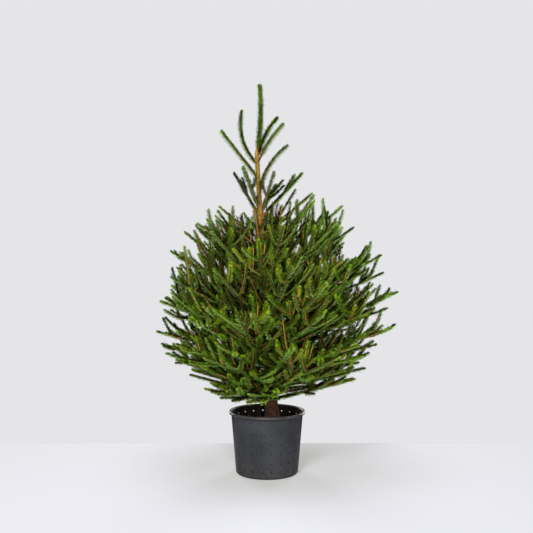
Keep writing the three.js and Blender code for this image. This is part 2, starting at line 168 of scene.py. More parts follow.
# The finer twigs, which only the scene has: more of them at each knot, then along the years between, and on
# the inner half of each bough. The salt keeps their seeds apart.
FINER = {
    "salt": 7000, "levels": 4,
    "sides": [(6, 0.64), (174, 0.64), (64, 0.5), (116, 0.5), (335, 0.44), (205, 0.44)],
    "tries": (1, 0.8, 0.62, 0.46), "shortest": 44, "clear": 18.5, "root": 28, "side_bare": 5,
    "airy_above": 960, "airy_clear": 29, "stretch": (1, 1, 1.35), "upward": ((450, 900), (0.16, 0.55)),
}
FINE_BALL = 4
BETWEEN = {
    "salt": 9000, "step": 27, "step_varies": 0.3, "length": 84, "length_varies": 0.3, "turn": 47,
    "shortest": 44, "rolls": (8, 172, 70, 196, 110, 344), "tries": (1, 0.75, 0.55), "radius": 1.8,
    "bare_for": 3, "clear": FINER["clear"], "from_root": 14, "from_tip": 50, "longer_than": 60,
}
INNER = {
    **BETWEEN, "salt": 11000, "step": 26, "length": 100, "turn": 56, "clear": 17.5, "off_trunk": 12,
    "up_to": 0.55,
}

# The outline of the crown, which fine twigs end within: its left and right edges at each height, and its
# front and back as shares of the right one.
OUTLINE = {
    "heights": (300, 331, 371, 452, 560, 680, 780, 859, 939, 1000, 1066, 1166, 1240),
    "left": (-200, -236, -318, -412, -412, -412, -390, -372, -322, -268, -205, -146, -50),
    "right": (150, 200, 300, 430, 500, 526, 470, 440, 352, 325, 250, 150, 60),
    "front": -0.73, "back": 0.86,
}

# The young top of the trunk stays in view from the front, from this height up and this far to each side.
IN_VIEW = {"above": 925, "beside": 15}

# Where the sky shows through from the front: the middle of each gap, x and z, and its half width and height.
SKY_GAPS = [
    (-66, 1146, 16, 28), (-76, 1030, 10, 24), (-52, 1070, 9, 22), (63, 1005, 8, 15), (97, 1095, 13, 20),
    (97, 331, 14, 9), (-212, 357, 24, 7),
]
GAP_EDGE = 9
EYE = {"aside": -2.2, "distance": 3000, "height": 807}

NEEDLE = {
    "count": 236000, "length": 16.4, "inner_length": 19, "length_varies": 0.16, "width": 3.8,
    "inner_width": 4.2, "depth": 0.9, "widest": 0.6, "lean_top": 30, "lean_side": 45, "lean_varies": 8,
    "parting": 34, "closed_parting": 16, "lift": 0.16, "from_bare": {"top": 0.4, "main": 0.9, "side": 0.35},
    "leader_lean": (50, 25), "top_lean": (30, 50), "lean_under": 22, "lean_at_tip": 22,
}

# How thickly shoots carry needles: the leader, the top shoots, the rest by outness, and those near the top.
NEEDLE_SHARES = {
    "leader": 2.9, "top": 2, "by_outness": ((0.3, 0.6, 0.8, 1), (0.34, 0.75, 1, 1.3)), "airy": 1.5,
}

# The length and radius of a shoot's end bud.
BUDS = {"leader": (19, 6.4), "strong": (7, 2.6), "fine": (5, 1.8)}

# How far down the row of greens, light to dark, a spray's needles are: outside, then painted shade added
# deeper inside the crown, low in the crown, at its outline and far to either side, and what is added near the
# top.
TONE = {
    "outside": 1.75, "painted_shade_inwards": 10, "low": 1.3, "low_shade_between": (330, 470), "outline_shade": 1.6,
    "outline_shade_between": (0.9, 1), "aside": 1.7, "side_shade_between": (200, 400), "high_between": (950, 1060),
    "varies": 1.4, "low_varies": 0.7, "needle_varies": 1.0,
}

# The young top of the trunk, which carries needles: its foot, bend and end, and their share of a shoot's.
YOUNG_TRUNK = {"heights": (950, 1090, 1232), "radius": 6, "share": 0.3}


def unit(vectors):
    return vectors / np.linalg.norm(vectors, axis=-1, keepdims=True)


def blend(a, b, t):
    return a + (b - a) * t


def ramp(value, between, low=0, high=1):
    """A value from low to high as another crosses a range."""
    return float(np.interp(value, between, (low, high)))


def turns_of(count):
    """Even turns round a circle."""
    return np.arange(count) * 2 * math.pi / count


# Growth: lines, limbs and stems

MASK = 0xFFFFFFFF


def seeded(seed):
    """Seeded numbers from 0 to 1, the same as in the part's source."""
    state = seed & MASK

    def draw():
        nonlocal state
        state = (state + 0x6D2B79F5) & MASK
        mixed = ((state ^ (state >> 15)) * (1 | state)) & MASK
        mixed = ((mixed + (((mixed ^ (mixed >> 7)) * (61 | mixed)) & MASK)) & MASK) ^ mixed
        return (mixed ^ (mixed >> 14)) / 4294967296

    return draw


def about(middle, varies, draw):
    return middle + varies * (2 * draw() - 1)


class Line:
    """A line bent once, from its root a past its bend b to its tip c."""

    chords = np.linspace(0, 1, 201)

    def __init__(self, a, b, c):
        self.a, self.b, self.c = a, b, c
        self.length = float(np.linalg.norm(np.diff(self.points(self.chords), axis=0), axis=1).sum())

    def points(self, t):
        t = np.asarray(t, float)[..., None]
        return (1 - t) ** 2 * self.a + 2 * (1 - t) * t * self.b + t * t * self.c

    def directions(self, t):
        """Along the line, level across it and over it."""
        t = np.asarray(t, float)
        along = unit(self.points(np.minimum(t + 1e-4, 1)) - self.points(np.maximum(t - 1e-4, 0)))
        across = unit(np.cross(UP, along))
        return along, across, np.cross(along, across)

    def stretch(self, start, end):
        a, middle, b = self.points([start, (start + end) / 2, end])
        return Line(a, 2 * middle - 0.5 * a - 0.5 * b, b)


class Stem:
    """A stem on its line: what it measures, its level from the bough, its seed, and the mass it is in."""

    def __init__(self, line, root_radius, bare_for, spike, level, seed, mass, fine=False):
        self.line, self.root_radius, self.bare_for, self.spike = line, root_radius, bare_for, spike
        self.level, self.seed, self.mass, self.fine = level, seed, mass, fine


def trunk_at(z):
    """The middle of the trunk at a height."""
    share = (np.asarray(z, float) - TRUNK["foot"][2]) / (TRUNK["fork"][2] - TRUNK["foot"][2])
    return TRUNK["foot"] + (TRUNK["fork"] - TRUNK["foot"]) * share[..., None]


def edges_at(z):
    """The crown's left and right edges at a height."""
    return (np.interp(z, OUTLINE["heights"], OUTLINE[side]) for side in ("left", "right"))


def trunk_radius(z):
    left = (TRUNK["fork"][2] - np.asarray(z, float)) / (TRUNK["fork"][2] - TRUNK["foot"][2])
    taper = np.clip(left, 0, 1) ** TRUNK["taper_power"]
    return TRUNK["fork_radius"] + (TRUNK["foot_radius"] - TRUNK["fork_radius"]) * taper


def bough_line(whorl, index):
    """A bough's line from the middle of the trunk, every other one a little higher."""
    turn, reach, tip_height = whorl["boughs"][index]
    out = np.array([math.cos(math.radians(turn)), math.sin(math.radians(turn)), 0])
    root = trunk_at(whorl["height"] + (WHORL_SPREAD if index % 2 else -WHORL_SPREAD))
    rise = tip_height - root[2]
    return Line(root, root + out * reach / 2 + UP * whorl["lift"] * rise, root + out * reach + UP * rise)


def knots_of(stem, levels):
    """Where a stem carries side stems, as lengths from its root: at the start of each year of growth."""
    if stem.level >= levels:
        return []
    knots = []
    year = GROWTH["year"] * GROWTH["year_per_level"] ** stem.level
    knot = stem.line.length - year
    while knot > stem.bare_for + GROWTH["first_pair"]:
        knots.insert(0, knot)
        year *= GROWTH["older_year"]
        knot -= year
    return knots


def side_line(stem, knot, reach, turn, around, upward):
    """A side stem's line, which leaves its stem at a knot and bends forward and up."""
    t = knot / stem.line.length
    along, across, over = stem.line.directions(t)
    radius = blend(stem.root_radius, GROWTH["tip"], t)
    out = across * math.cos(around) + over * math.sin(around)
    heading = along * math.cos(turn) + out * math.sin(turn)
    root = stem.line.points(t) + out * radius * GROWTH["root_out"]
    tip = root + heading * reach + along * GROWTH["forward"] * reach + UP * upward * reach
    return Line(root, root + heading * reach / 2, tip), radius


def upward_of(stem):
    """How much the fine twigs of a stem turn up, more towards the top of the crown."""
    return float(np.interp(stem.line.c[2], *FINER["upward"]))


def side_ways(stem, knot, age, s, rule):
    """The ways that one side stem can grow, the longest first."""
    roll, share = rule["sides"][s]
    side_seed = (stem.seed * 31 + 3 * age + s + rule["salt"]) & MASK
    draw = seeded(side_seed)
    longest = (stem.line.length - knot) * share * about(1, GROWTH["length_varies"], draw)
    turn = math.radians(about(GROWTH["turn"], GROWTH["turn_varies"], draw))
    around = math.radians(about(roll, GROWTH["roll_varies"], draw))
    upward = upward_of(stem) if rule is FINER else GROWTH["upward"]
    for part in rule["tries"]:
        if part * longest < rule["shortest"]:
            continue
        line, radius = side_line(stem, knot, part * longest, turn, around, upward)
        yield Stem(
            line, min(GROWTH["side_root"], radius), rule["side_bare"], stem.spike, stem.level + 1,
            side_seed, stem.mass, rule is FINER,
        )


class Room:
    """Balls strung along every limb and stem tell which new stems have room."""

    def __init__(self):
        self.at = np.full((CLEARANCE["most_balls"], 3), 1e6)
        self.radius = np.zeros(CLEARANCE["most_balls"])
        self.owner = np.full(CLEARANCE["most_balls"], -1)
        self.count = 0

    def string(self, line):
        count = math.ceil(line.length / CLEARANCE["ball_step"])
        t = np.arange(count + 1) / count
        return line.points(t), t * line.length

    def add(self, line, radius, owner):
        at, _ = self.string(line)
        new = slice(self.count, self.count + len(at))
        self.at[new], self.radius[new], self.owner[new] = at, radius, owner
        self.count += len(at)

    def near(self, at, reach, stretch=(1, 1, 1)):
        balls = self.at[: self.count]
        low, high = at.min(axis=0) - reach, at.max(axis=0) + reach
        found = np.nonzero(np.all((balls > low) & (balls < high), axis=1))[0]
        return found, np.linalg.norm((at[:, None] - balls[found][None]) * stretch, axis=2)

    def clears_trunk(self, at, radius):
        off_trunk = np.linalg.norm(at - trunk_at(at[:, 2]), axis=1) - trunk_radius(at[:, 2]) - radius
        return off_trunk.min() >= CLEARANCE["twig"] and at[:, 2].min() - radius >= POT["height"]

    def for_mass_stem(self, line, radius, owner):
        """The part source's test: clear of the other masses, and off its own mass beyond its root."""
        at, from_root = self.string(line)
        if not self.clears_trunk(at, radius):
            return False
        found, away = self.near(at, CLEARANCE["look"])
        own = self.owner[found] == owner
        past_root = from_root >= CLEARANCE["own_root"]
        if np.any(away[np.ix_(past_root, own)] <= CLEARANCE["own"]):
            return False
        reach = self.radius[found][~own] + radius + CLEARANCE["twig"]
        return not np.any(away[:, ~own] <= reach)

    def for_fine_twig(self, line, clear):
        at, from_root = self.string(line)
        if not self.clears_trunk(at[from_root >= FINER["root"]], FINE_BALL):
            return False
        beside = np.abs(at[:, 0] - trunk_at(at[:, 2])[:, 0])
        if np.any((beside < IN_VIEW["beside"]) & (at[:, 1] < 0) & (at[:, 2] > IN_VIEW["above"])):
            return False
        seen = EYE["distance"] / (EYE["distance"] + at[:, 1])
        seen_x, seen_z = at[:, 0] * seen, EYE["height"] + (at[:, 2] - EYE["height"]) * seen
        for x, z, wide, high in SKY_GAPS:
            off_x, off_z = np.abs(seen_x - x) - wide, np.abs(seen_z - z) - high
            if np.any((off_x < GAP_EDGE) & (off_z < GAP_EDGE)):
                return False
        left, right = edges_at(line.c[2])
        near_edge, far_edge = right * OUTLINE["front"], right * OUTLINE["back"]
        if not (left < line.c[0] < right and near_edge < line.c[1] < far_edge):
            return False
        if line.a[2] > FINER["airy_above"]:
            clear = FINER["airy_clear"]
        _, away = self.near(at, clear, FINER["stretch"])
        return not np.any(away[from_root >= FINER["root"]] <= clear)


room = Room()
stems = []
boughs = []
masses = []


def start_mass(name, stem):
    masses.append({"name": name, "newest": [stem]})
    stems.append(stem)
    room.add(stem.line, stem.spike * (1 + GROWTH["spike_varies"]), stem.mass)


for k, (name, height, bend, tip, depth, bare_for) in enumerate(TOP_SHOOTS):
    line = Line(
        trunk_at(height), np.array([bend[0], depth / 2, bend[1]]), np.array([tip[0], depth, tip[1]], float)
    )
    spike = TOP_SPIKE if k else LEADER_SPIKE
    start_mass(name, Stem(line, TOP_RADIUS, bare_for, spike, GROWTH["levels"], SEED + k, len(masses)))

for w, whorl in enumerate(WHORLS):
    for b in range(len(whorl["boughs"])):
        line = bough_line(whorl, b)
        end_radius = blend(whorl["radius"], GROWTH["tip"], whorl["limb"])
        if whorl["limb"]:
            room.add(line.stretch(0, whorl["limb"]), whorl["radius"], 1000 + len(boughs))
        gap_share = CLEARANCE["gap"] / line.length if whorl["limb"] else 0
        main = line.stretch(whorl["limb"] + gap_share, 1)
        seed = SEED + 100 * (w + 1) + b
        stem = Stem(main, end_radius, whorl["bare_for"], whorl["spike"], 0, seed, len(masses))
        boughs.append((whorl, line, stem))
        start_mass(f"{whorl['name']}_{b + 1}", stem)

# The side stems of the part's source, the larger before the smaller.
for level in range(1, GROWTH["levels"] + 1):
    for mass in masses:
        grown = []
        for stem in mass["newest"]:
            if stem.level >= level:
                continue
            for age, knot in enumerate(reversed(knots_of(stem, GROWTH["levels"]))):
                for s in range(len(GROWTH["sides"])):
                    for side in side_ways(stem, knot, age, s, GROWTH):
                        reach = side.spike * (1 + GROWTH["spike_varies"])
                        if room.for_mass_stem(side.line, reach, side.mass):
                            room.add(side.line, reach, side.mass)
                            grown.append(side)
                            break
        mass["newest"] = grown
        stems.extend(grown)

# Boughs between the whorls, then finer twigs at the knots of all.
for w, tier in enumerate(BETWEEN_WHORLS):
    for b in range(len(tier["boughs"])):
        line = bough_line(tier, b)
        seed = SEED + 100 * (w + 20) + b
        stem = Stem(line, tier["radius"], tier["bare_for"], tier["spike"], 0, seed, len(masses), fine=True)
        boughs.append((tier, line, stem))
        masses.append({"name": tier["name"]})
        stems.append(stem)
        room.add(line, FINE_BALL, stem.mass)

newest = [stem for stem in stems if stem.mass >= len(TOP_SHOOTS)]
for _ in range(FINER["levels"]):
    grown = []
    for stem in newest:
        for age, knot in enumerate(reversed(knots_of(stem, FINER["levels"]))):
            for s in range(len(FINER["sides"])):
                for side in side_ways(stem, knot, age, s, FINER):
                    if room.for_fine_twig(side.line, FINER["clear"]):
                        room.add(side.line, FINE_BALL, side.mass)
                        grown.append(side)
                        break
    stems.extend(grown)
    newest = grown


def twigs_between(parent, start, end, rule):
    """Short twigs along a stretch of a stem, one to each side in turn."""
    draw = seeded(parent.seed + rule["salt"])
    made = []
    at = start + rule["step"] * draw()
    k = int(2 * draw())
    while at < end:
        roll = rule["rolls"][k % len(rule["rolls"])]
        reach = rule["length"] * about(1, rule["length_varies"], draw)
        turn = math.radians(about(rule["turn"], GROWTH["turn_varies"], draw))
        around = math.radians(about(roll, GROWTH["roll_varies"], draw))
        seed = (parent.seed * 31 + rule["salt"] + k) & MASK
        for part in rule["tries"]:
            if part * reach < rule["shortest"]:
                continue
            line, radius = side_line(parent, at, part * reach, turn, around, upward_of(parent))
            if room.for_fine_twig(line, rule["clear"]):
                room.add(line, FINE_BALL, parent.mass)
                twig = (line, rule["radius"], rule["bare_for"], parent.spike, FINER["levels"], seed)
                made.append(Stem(*twig, parent.mass, fine=True))
                break
        at += rule["step"] * about(1, rule["step_varies"], draw)
        k += 1
    return made


for stem in list(stems):
    long_enough = stem.level < FINER["levels"] and stem.line.length > BETWEEN["longer_than"]
    if long_enough and stem.mass >= len(TOP_SHOOTS):
        start, end = max(stem.bare_for, BETWEEN["from_root"]), stem.line.length - BETWEEN["from_tip"]
        stems.extend(twigs_between(stem, start, end, BETWEEN))

for whorl, line, stem in boughs:
    limb = Stem(line, whorl["radius"], 0, stem.spike, 0, stem.seed, stem.mass)
    start = float(trunk_radius(line.a[2])) + INNER["off_trunk"]
    stems.extend(twigs_between(limb, start, line.length * INNER["up_to"], INNER))


# Materials


def colour(hex_code):
    """A colour as the nodes take it, from its six-figure screen value."""
    parts = [int(hex_code[i : i + 2], 16) / 255 for i in (0, 2, 4)]
    return [p / 12.92 if p <= 0.04045 else ((p + 0.055) / 1.055) ** 2.4 for p in parts] + [1.0]


def add(tree, kind, inputs=None, **settings):
    """A node with its settings, and its inputs linked or set."""
    node = tree.nodes.new(kind)
    for key, value in settings.items():
        setattr(node, key, value)
    for key, value in (inputs or {}).items():
        if isinstance(value, bpy.types.NodeSocket):
            tree.links.new(value, node.inputs[key])
        else:
            node.inputs[key].default_value = value
    return node


def out_of(tree, kind, inputs=None, **settings):
    """The first output of a new node."""
    return add(tree, kind, inputs, **settings).outputs[0]


def mixed(tree, share, a, b):
    """One colour over another by a share that changes over the surface."""
    return add(tree, "ShaderNodeMix", {0: share, 6: a, 7: b}, data_type="RGBA").outputs[2]


def mapped(tree, value, low, high, to_low=0.0, to_high=1.0):
    return out_of(tree, "ShaderNodeMapRange", {0: value, 1: low, 2: high, 3: to_low, 4: to_high})


def times(tree, a, b, operation="MULTIPLY"):
    return out_of(tree, "ShaderNodeMath", {0: a, 1: b}, operation=operation)


def vectors(tree, a, b, operation):
    return out_of(tree, "ShaderNodeVectorMath", {0: a, 1: b}, operation=operation)


def place_of(tree):
    return add(tree, "ShaderNodeTexCoord").outputs["Object"]


def height_of(tree, place):
    return add(tree, "ShaderNodeSeparateXYZ", {0: place}).outputs["Z"]


def noise_at(tree, place, scale, detail, roughness=0.5):
    """Soft patches of 0 to 1, so many to the metre."""
    inputs = {"Vector": place, "Scale": scale, "Detail": detail, "Roughness": roughness}
    return out_of(tree, "ShaderNodeTexNoise", inputs)


def cells_at(tree, place, scale):
    """How far a place is from the middle of its cell, so many cells to the metre."""
    return add(tree, "ShaderNodeTexVoronoi", {"Vector": place, "Scale": scale}).outputs["Distance"]


def new_material(name, hex_code, roughness, specular=0.5):
    material = bpy.data.materials.new(name)
    material.use_nodes = True
    shader = material.node_tree.nodes["Principled BSDF"]
    shader.inputs["Base Color"].default_value = colour(hex_code)
    shader.inputs["Roughness"].default_value = roughness
    shader.inputs["Specular IOR Level"].default_value = specular
    material.diffuse_color = colour(hex_code)
    return material, material.node_tree, shader


def new_group(name, kind, inputs, output_kind, outputs):
    """An empty node group with named inputs, as (name, kind, value), and named outputs."""
    tree = bpy.data.node_groups.new(name, kind)
    for label, socket_kind, value in inputs:
        socket = tree.interface.new_socket(label, in_out="INPUT", socket_type="NodeSocket" + socket_kind)
        if value is not None:
            socket.default_value = value
    for label in outputs:
        tree.interface.new_socket(label, in_out="OUTPUT", socket_type="NodeSocket" + output_kind)
    return tree, tree.nodes.new("NodeGroupInput").outputs, tree.nodes.new("NodeGroupOutput").inputs


def flaking_bark_effect():
    """Thin scales of bark that stand up at their edges, over a fine grain along the stem."""
    inputs = [
        ("Position", "Vector", None), ("Scale Size", "Float", 0.012), ("Grain Size", "Float", 0.002),
        ("Stretch", "Float", 0.4),
    ]
    outputs = ("Crack", "Grain", "Height")
    tree, given, made = new_group("flaking_bark", "ShaderNodeTree", inputs, "Float", outputs)
    along = out_of(tree, "ShaderNodeCombineXYZ", {"X": 1.0, "Y": 1.0, "Z": given["Stretch"]})
    place = vectors(tree, given["Position"], along, "MULTIPLY")
    bend = add(tree, "ShaderNodeTexNoise", {"Vector": place, "Scale": 90.0, "Detail": 2.0}).outputs["Color"]
    shift = out_of(tree, "ShaderNodeVectorMath", {0: bend, "Scale": 0.006}, operation="SCALE")
    warped = vectors(tree, place, shift, "ADD")
    inputs = {"Vector": warped, "Scale": times(tree, 1.0, given["Scale Size"], "DIVIDE")}
    scales = out_of(tree, "ShaderNodeTexVoronoi", inputs, feature="DISTANCE_TO_EDGE")
    crack = mapped(tree, scales, 0.02, 0.16, 1.0, 0.0)
    grain = noise_at(tree, place, times(tree, 1.0, given["Grain Size"], "DIVIDE"), 5.0, 0.62)
    tree.links.new(crack, made["Crack"])
    tree.links.new(grain, made["Grain"])
    height = times(tree, times(tree, crack, -0.6), times(tree, grain, 0.5), "ADD")
    tree.links.new(height, made["Height"])
    return tree


def settled_dust_effect():
    """Dried soil and dust, patchy, between two heights."""
    inputs = [
        ("Position", "Vector", None), ("From Height", "Float", 0.0), ("To Height", "Float", 0.1),
        ("Patch Size", "Float", 0.03),
    ]
    tree, given, made = new_group("settled_dust", "ShaderNodeTree", inputs, "Float", ("Dust",))
    rising = mapped(tree, height_of(tree, given["Position"]), given["From Height"], given["To Height"])
    patches = noise_at(tree, given["Position"], times(tree, 1.0, given["Patch Size"], "DIVIDE"), 6.0, 0.65)
    tree.links.new(times(tree, rising, mapped(tree, patches, 0.42, 0.66)), made["Dust"])
    return tree


FLAKING_BARK = flaking_bark_effect()
SETTLED_DUST = settled_dust_effect()


def dust_between(tree, place, low, high, patch):
    """How much dried soil lies on a place, from none at one height to the full patches at another."""
    inputs = {"Position": place, "From Height": low, "To Height": high, "Patch Size": patch}
    return out_of(tree, "ShaderNodeGroup", inputs, node_tree=SETTLED_DUST)


def bark_at(tree, place, scale, grain, stretch):
    inputs = {"Position": place, "Scale Size": scale, "Grain Size": grain, "Stretch": stretch}
    return add(tree, "ShaderNodeGroup", inputs, node_tree=FLAKING_BARK).outputs


def finish_skin(tree, shader, skin, height, strength, distance):
    """Gives a material the colour and the bump that its nodes make."""
    tree.links.new(skin, shader.inputs["Base Color"])
    bump = out_of(tree, "ShaderNodeBump", {"Height": height, "Strength": strength, "Distance": distance})
    tree.links.new(bump, shader.inputs["Normal"])


def pot_plastic():
    """Blown black plastic, slightly blue, with a satin skin, dusty on its lip and foot."""
    material, tree, shader = new_material("pot_plastic", "3b3d42", 0.46, 0.2)
    place = place_of(tree)
    mottle = noise_at(tree, place, 9.0, 5.0)
    speck = noise_at(tree, place, 420.0, 3.0)
    skin = mixed(tree, mapped(tree, mottle, 0.35, 0.65), colour("2b2c2f"), colour("37383c"))
    skin = mixed(tree, mapped(tree, speck, 0.6, 0.8, 0.0, 0.3), skin, colour("55565a"))
    lip = dust_between(tree, place, 0.229, 0.24, 0.05)
    foot = dust_between(tree, place, 0.09, 0.0, 0.02)
    skin = mixed(tree, times(tree, lip, 0.6), skin, colour("5f5348"))
    skin = mixed(tree, times(tree, foot, 0.28), skin, colour("5d5852"))
    dull = times(tree, times(tree, lip, 0.3), mapped(tree, mottle, 0.3, 0.7, 0.32, 0.42), "ADD")
    tree.links.new(dull, shader.inputs["Roughness"])
    finish_skin(tree, shader, skin, speck, 0.12, 0.0006)
    return material


def shaded_soiled_plastic():
    """The pot's inner wall: painted near black, as shade, with soil stuck to it."""
    material, tree, shader = new_material("shaded_soiled_plastic", "0c0c0d", 0.75, 0.08)
    place = place_of(tree)
    crumbs = cells_at(tree, place, 230.0)
    skin = mixed(tree, dust_between(tree, place, 0.262, 0.2, 0.01), colour("0c0c0d"), colour("2b1d10"))
    skin = mixed(tree, mapped(tree, crumbs, 0.2, 0.1, 0.0, 0.7), skin, colour("5d4322"))
    finish_skin(tree, shader, skin, crumbs, 0.3, 0.001)
    return material


def compost_soil(name, dark, light, specks):
    """Damp compost: near black, with brown fibres and a few pale crumbs."""
    material, tree, shader = new_material(name, dark, 0.9, 0.3)
    place = place_of(tree)
    lumps = noise_at(tree, place, 130.0, 8.0, 0.7)
    earth = mixed(tree, mapped(tree, lumps, 0.38, 0.7), colour(dark), colour(light))
    bits = cells_at(tree, place, 240.0)
    earth = mixed(tree, mapped(tree, bits, 0.16, 0.1, 0.0, specks), earth, colour("8d7351"))
    finish_skin(tree, shader, earth, lumps, 0.9, 0.004)
    return material


def trunk_bark():
    """Dark red-brown scales low down, and smooth ochre bark on the young top."""
    material, tree, shader = new_material("trunk_bark", "5a3c24", 0.82, 0.3)
    place = place_of(tree)
    bark = bark_at(tree, place, 0.0085, 0.003, 0.45)
    patches = mapped(tree, noise_at(tree, place, 34.0, 4.0), 0.3, 0.7, -0.06, 0.06)
    young = mapped(tree, times(tree, height_of(tree, place), patches, "ADD"), 0.72, 0.96)
    scales = mixed(tree, mapped(tree, bark["Grain"], 0.35, 0.68), colour("3a2216"), colour("6b4128"))
    ochre = mixed(tree, mapped(tree, bark["Grain"], 0.35, 0.65), colour("755618"), colour("b28a34"))
    scars = mapped(tree, noise_at(tree, place, 150.0, 3.0), 0.48, 0.62, 0.0, 0.7)
    skin = mixed(tree, young, scales, mixed(tree, scars, ochre, colour("5b4115")))
    in_cracks = times(tree, bark["Crack"], mapped(tree, young, 0.0, 1.0, 0.75, 0.3))
    skin = mixed(tree, in_cracks, skin, colour("26150d"))
    skin = mixed(tree, dust_between(tree, place, 0.27, 0.2, 0.018), skin, colour("1d120b"))
    finish_skin(tree, shader, skin, bark["Height"], 0.7, 0.0016)
    return material


def bough_bark():
    """Thin brown bark with small scales."""
    material, tree, shader = new_material("bough_bark", "7a5130", 0.78, 0.3)
    bark = bark_at(tree, place_of(tree), 0.006, 0.002, 1.0)
    skin = mixed(tree, mapped(tree, bark["Grain"], 0.35, 0.68), colour("5b3a22"), colour("a06e3f"))
    skin = mixed(tree, times(tree, bark["Crack"], 0.5), skin, colour("2f1c10"))
    finish_skin(tree, shader, skin, bark["Height"], 0.6, 0.001)
    return material


POT_PLASTIC = pot_plastic()
SHADED_SOILED_PLASTIC = shaded_soiled_plastic()
COMPOST = compost_soil("compost", "100b08", "3d2a1b", 0.6)
CRUMB = compost_soil("compost_crumb", "1b120c", "55402b", 0.2)
PALE_CHIP = new_material("bark_chip", "8a6a48", 0.8, 0.3)[0]
TRUNK_BARK = trunk_bark()
BOUGH_BARK = bough_bark()
YOUNG_TWIG = new_material("young_twig", "c4803f", 0.6, 0.25)[0]
OLD_TWIG = new_material("old_twig", "633313", 0.75, 0.2)[0]
BUD_SCALES = new_material("bud_scales", "5f3d1b", 0.5, 0.3)[0]
LEADER_BUD = new_material("leader_bud", "77591b", 0.5, 0.3)[0]

# The greens of the needles, light to dark as seen from above, the darkest as painted shade deep in the crown,
# then those of the paler undersides.
NEEDLE_GREENS = [
    ("tip_green", "8ea818"), ("fresh_green", "789a12"), ("bright_green", "60840c"), ("leaf_green", "4a6b08"),
    ("deep_green", "3a5206"), ("dark_green", "273605"), ("shaded_inner_green", "111402"),
    ("pale_underside", "84a74a"), ("grey_underside", "648832"), ("dull_underside", "43641d"),
]
UPPER_TONES = 7
NEEDLE_MATERIALS = [new_material(name, code, 0.55, 0.03)[0] for name, code in NEEDLE_GREENS]


# Meshes


def new_piece(name, data):
    piece = bpy.data.objects.new(name, data)
    bpy.context.scene.collection.objects.link(piece)
    return piece


def dress(piece, slot, *nodes):
    """Ties a finished piece to the tree's one body and hides the CAD nodes it stands for; slot is not used.
    """
    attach(piece, BODY)
    if nodes:
        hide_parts(*nodes)


def mesh_of(name, points, corners, materials, dealt=None, smooth=False):
    """A mesh of triangles from points in millimetres, with the number of each triangle's material."""
    corners = np.asarray(corners, np.int32).reshape(-1, 3)
    mesh = bpy.data.meshes.new(name)
    mesh.vertices.add(len(points))
    mesh.vertices.foreach_set("co", (np.asarray(points) * MM).astype(np.float32).ravel())
    mesh.loops.add(corners.size)
    mesh.loops.foreach_set("vertex_index", corners.ravel())
    mesh.polygons.add(len(corners))
    mesh.polygons.foreach_set("loop_start", np.arange(0, corners.size, 3, dtype=np.int32))
    for material in materials:
        mesh.materials.append(material)
    if dealt is not None:
        mesh.polygons.foreach_set("material_index", np.asarray(dealt, np.int32))
    mesh.polygons.foreach_set("use_smooth", np.full(len(corners), smooth))
    mesh.update(calc_edges=True)
    return mesh


def ring_bands(rings, sides, start=0):
    """Triangles between the rings of a tube, and over its two ends."""
    a = np.arange(rings - 1)[:, None] * sides + np.arange(sides)[None]
    b = np.arange(rings - 1)[:, None] * sides + (np.arange(sides)[None] + 1) % sides
    skin = np.stack([a, b, b + sides, a, b + sides, a + sides], axis=-1).reshape(-1, 3)
    fan = np.arange(1, sides - 1)
    first = np.stack([np.zeros_like(fan), fan + 1, fan], axis=-1)
    last = np.stack([np.zeros_like(fan), fan, fan + 1], axis=-1) + (rings - 1) * sides
    return np.concatenate([skin, first, last]) + start


def trunk_mesh():
    """The trunk, with its root flare, its bark scales, a collar under each bough and fine ridges on top."""
    around, top = 72, float(TRUNK["fork"][2]) + 9
    heights = np.append(np.arange(COMPOST_TOP - 10, top - 2, 3.6), [top - 1.5, top])
    turns = turns_of(around)
    outward = np.stack([np.cos(turns), np.sin(turns), np.zeros(around)], axis=1)
    foot_z = TRUNK["foot"][2]
    points = np.zeros((len(heights), around, 3))
    for k, z in enumerate(heights):
        near_foot = math.exp(min(0.4, (foot_z - z) / TRUNK["flare_over"]))
        lobes = 1 + TRUNK["lobe_depth"] * near_foot * np.cos(TRUNK["flare_lobes"] * turns)
        stout = 2.6 * min(1, max(0.0, (560 - z) / 260)) + 0.7 * min(1, max(0.0, (z - 900) / 200))
        radius = (float(trunk_radius(z)) + stout + TRUNK["flare"] * near_foot) * lobes
        radius *= min(1, math.sqrt(max(0.0, top + 1 - z) / 26)) if z > top - 25 else 1
        points[k] = trunk_at(z) + outward * radius[:, None]
    for whorl, line, _ in boughs:
        toward = unit(line.b - line.a)
        reach = np.einsum("kij,j->ki", points - line.a, toward)
        off_line = np.linalg.norm(points - line.a - reach[..., None] * toward, axis=2)
        swell = np.exp(-((off_line / (whorl["radius"] * 1.9)) ** 2)) * (reach > 0)
        points += swell[..., None] * (outward * 2.6 + toward * 1.6)
    for k, z in enumerate(heights):
        old = min(1, max(0.0, (900 - z) / 300))
        for i in range(around):
            at = Vector(points[k, i] * (0.07, 0.07, 0.032))
            cell = noise.voronoi(at * 1.5)[0]
            plate = min(1, (cell[1] - cell[0]) * 3)
            grain = noise.noise(at * 6)
            ridge = math.sin(turns[i] * 13 + z * 0.055) * 0.3 * (1 - old)
            points[k, i] += outward[i] * (old * (plate * 1.3 - 0.9) + grain * (0.35 + 0.25 * old) + ridge)
    corners = ring_bands(len(heights), around)
    return mesh_of("trunk_bark", points.reshape(-1, 3), corners, [TRUNK_BARK], smooth=True)


def outness(at):
    """How far out a place is in the crown: 0 at the trunk and 1 at the outline."""
    off = at - trunk_at(at[..., 2])
    left, right = edges_at(at[..., 2])
    reach_x = np.where(off[..., 0] < 0, -left, right)
    reach_y = np.where(off[..., 1] < 0, -OUTLINE["front"], OUTLINE["back"]) * right
    return np.minimum(1.1, np.hypot(off[..., 0] / reach_x, off[..., 1] / reach_y))


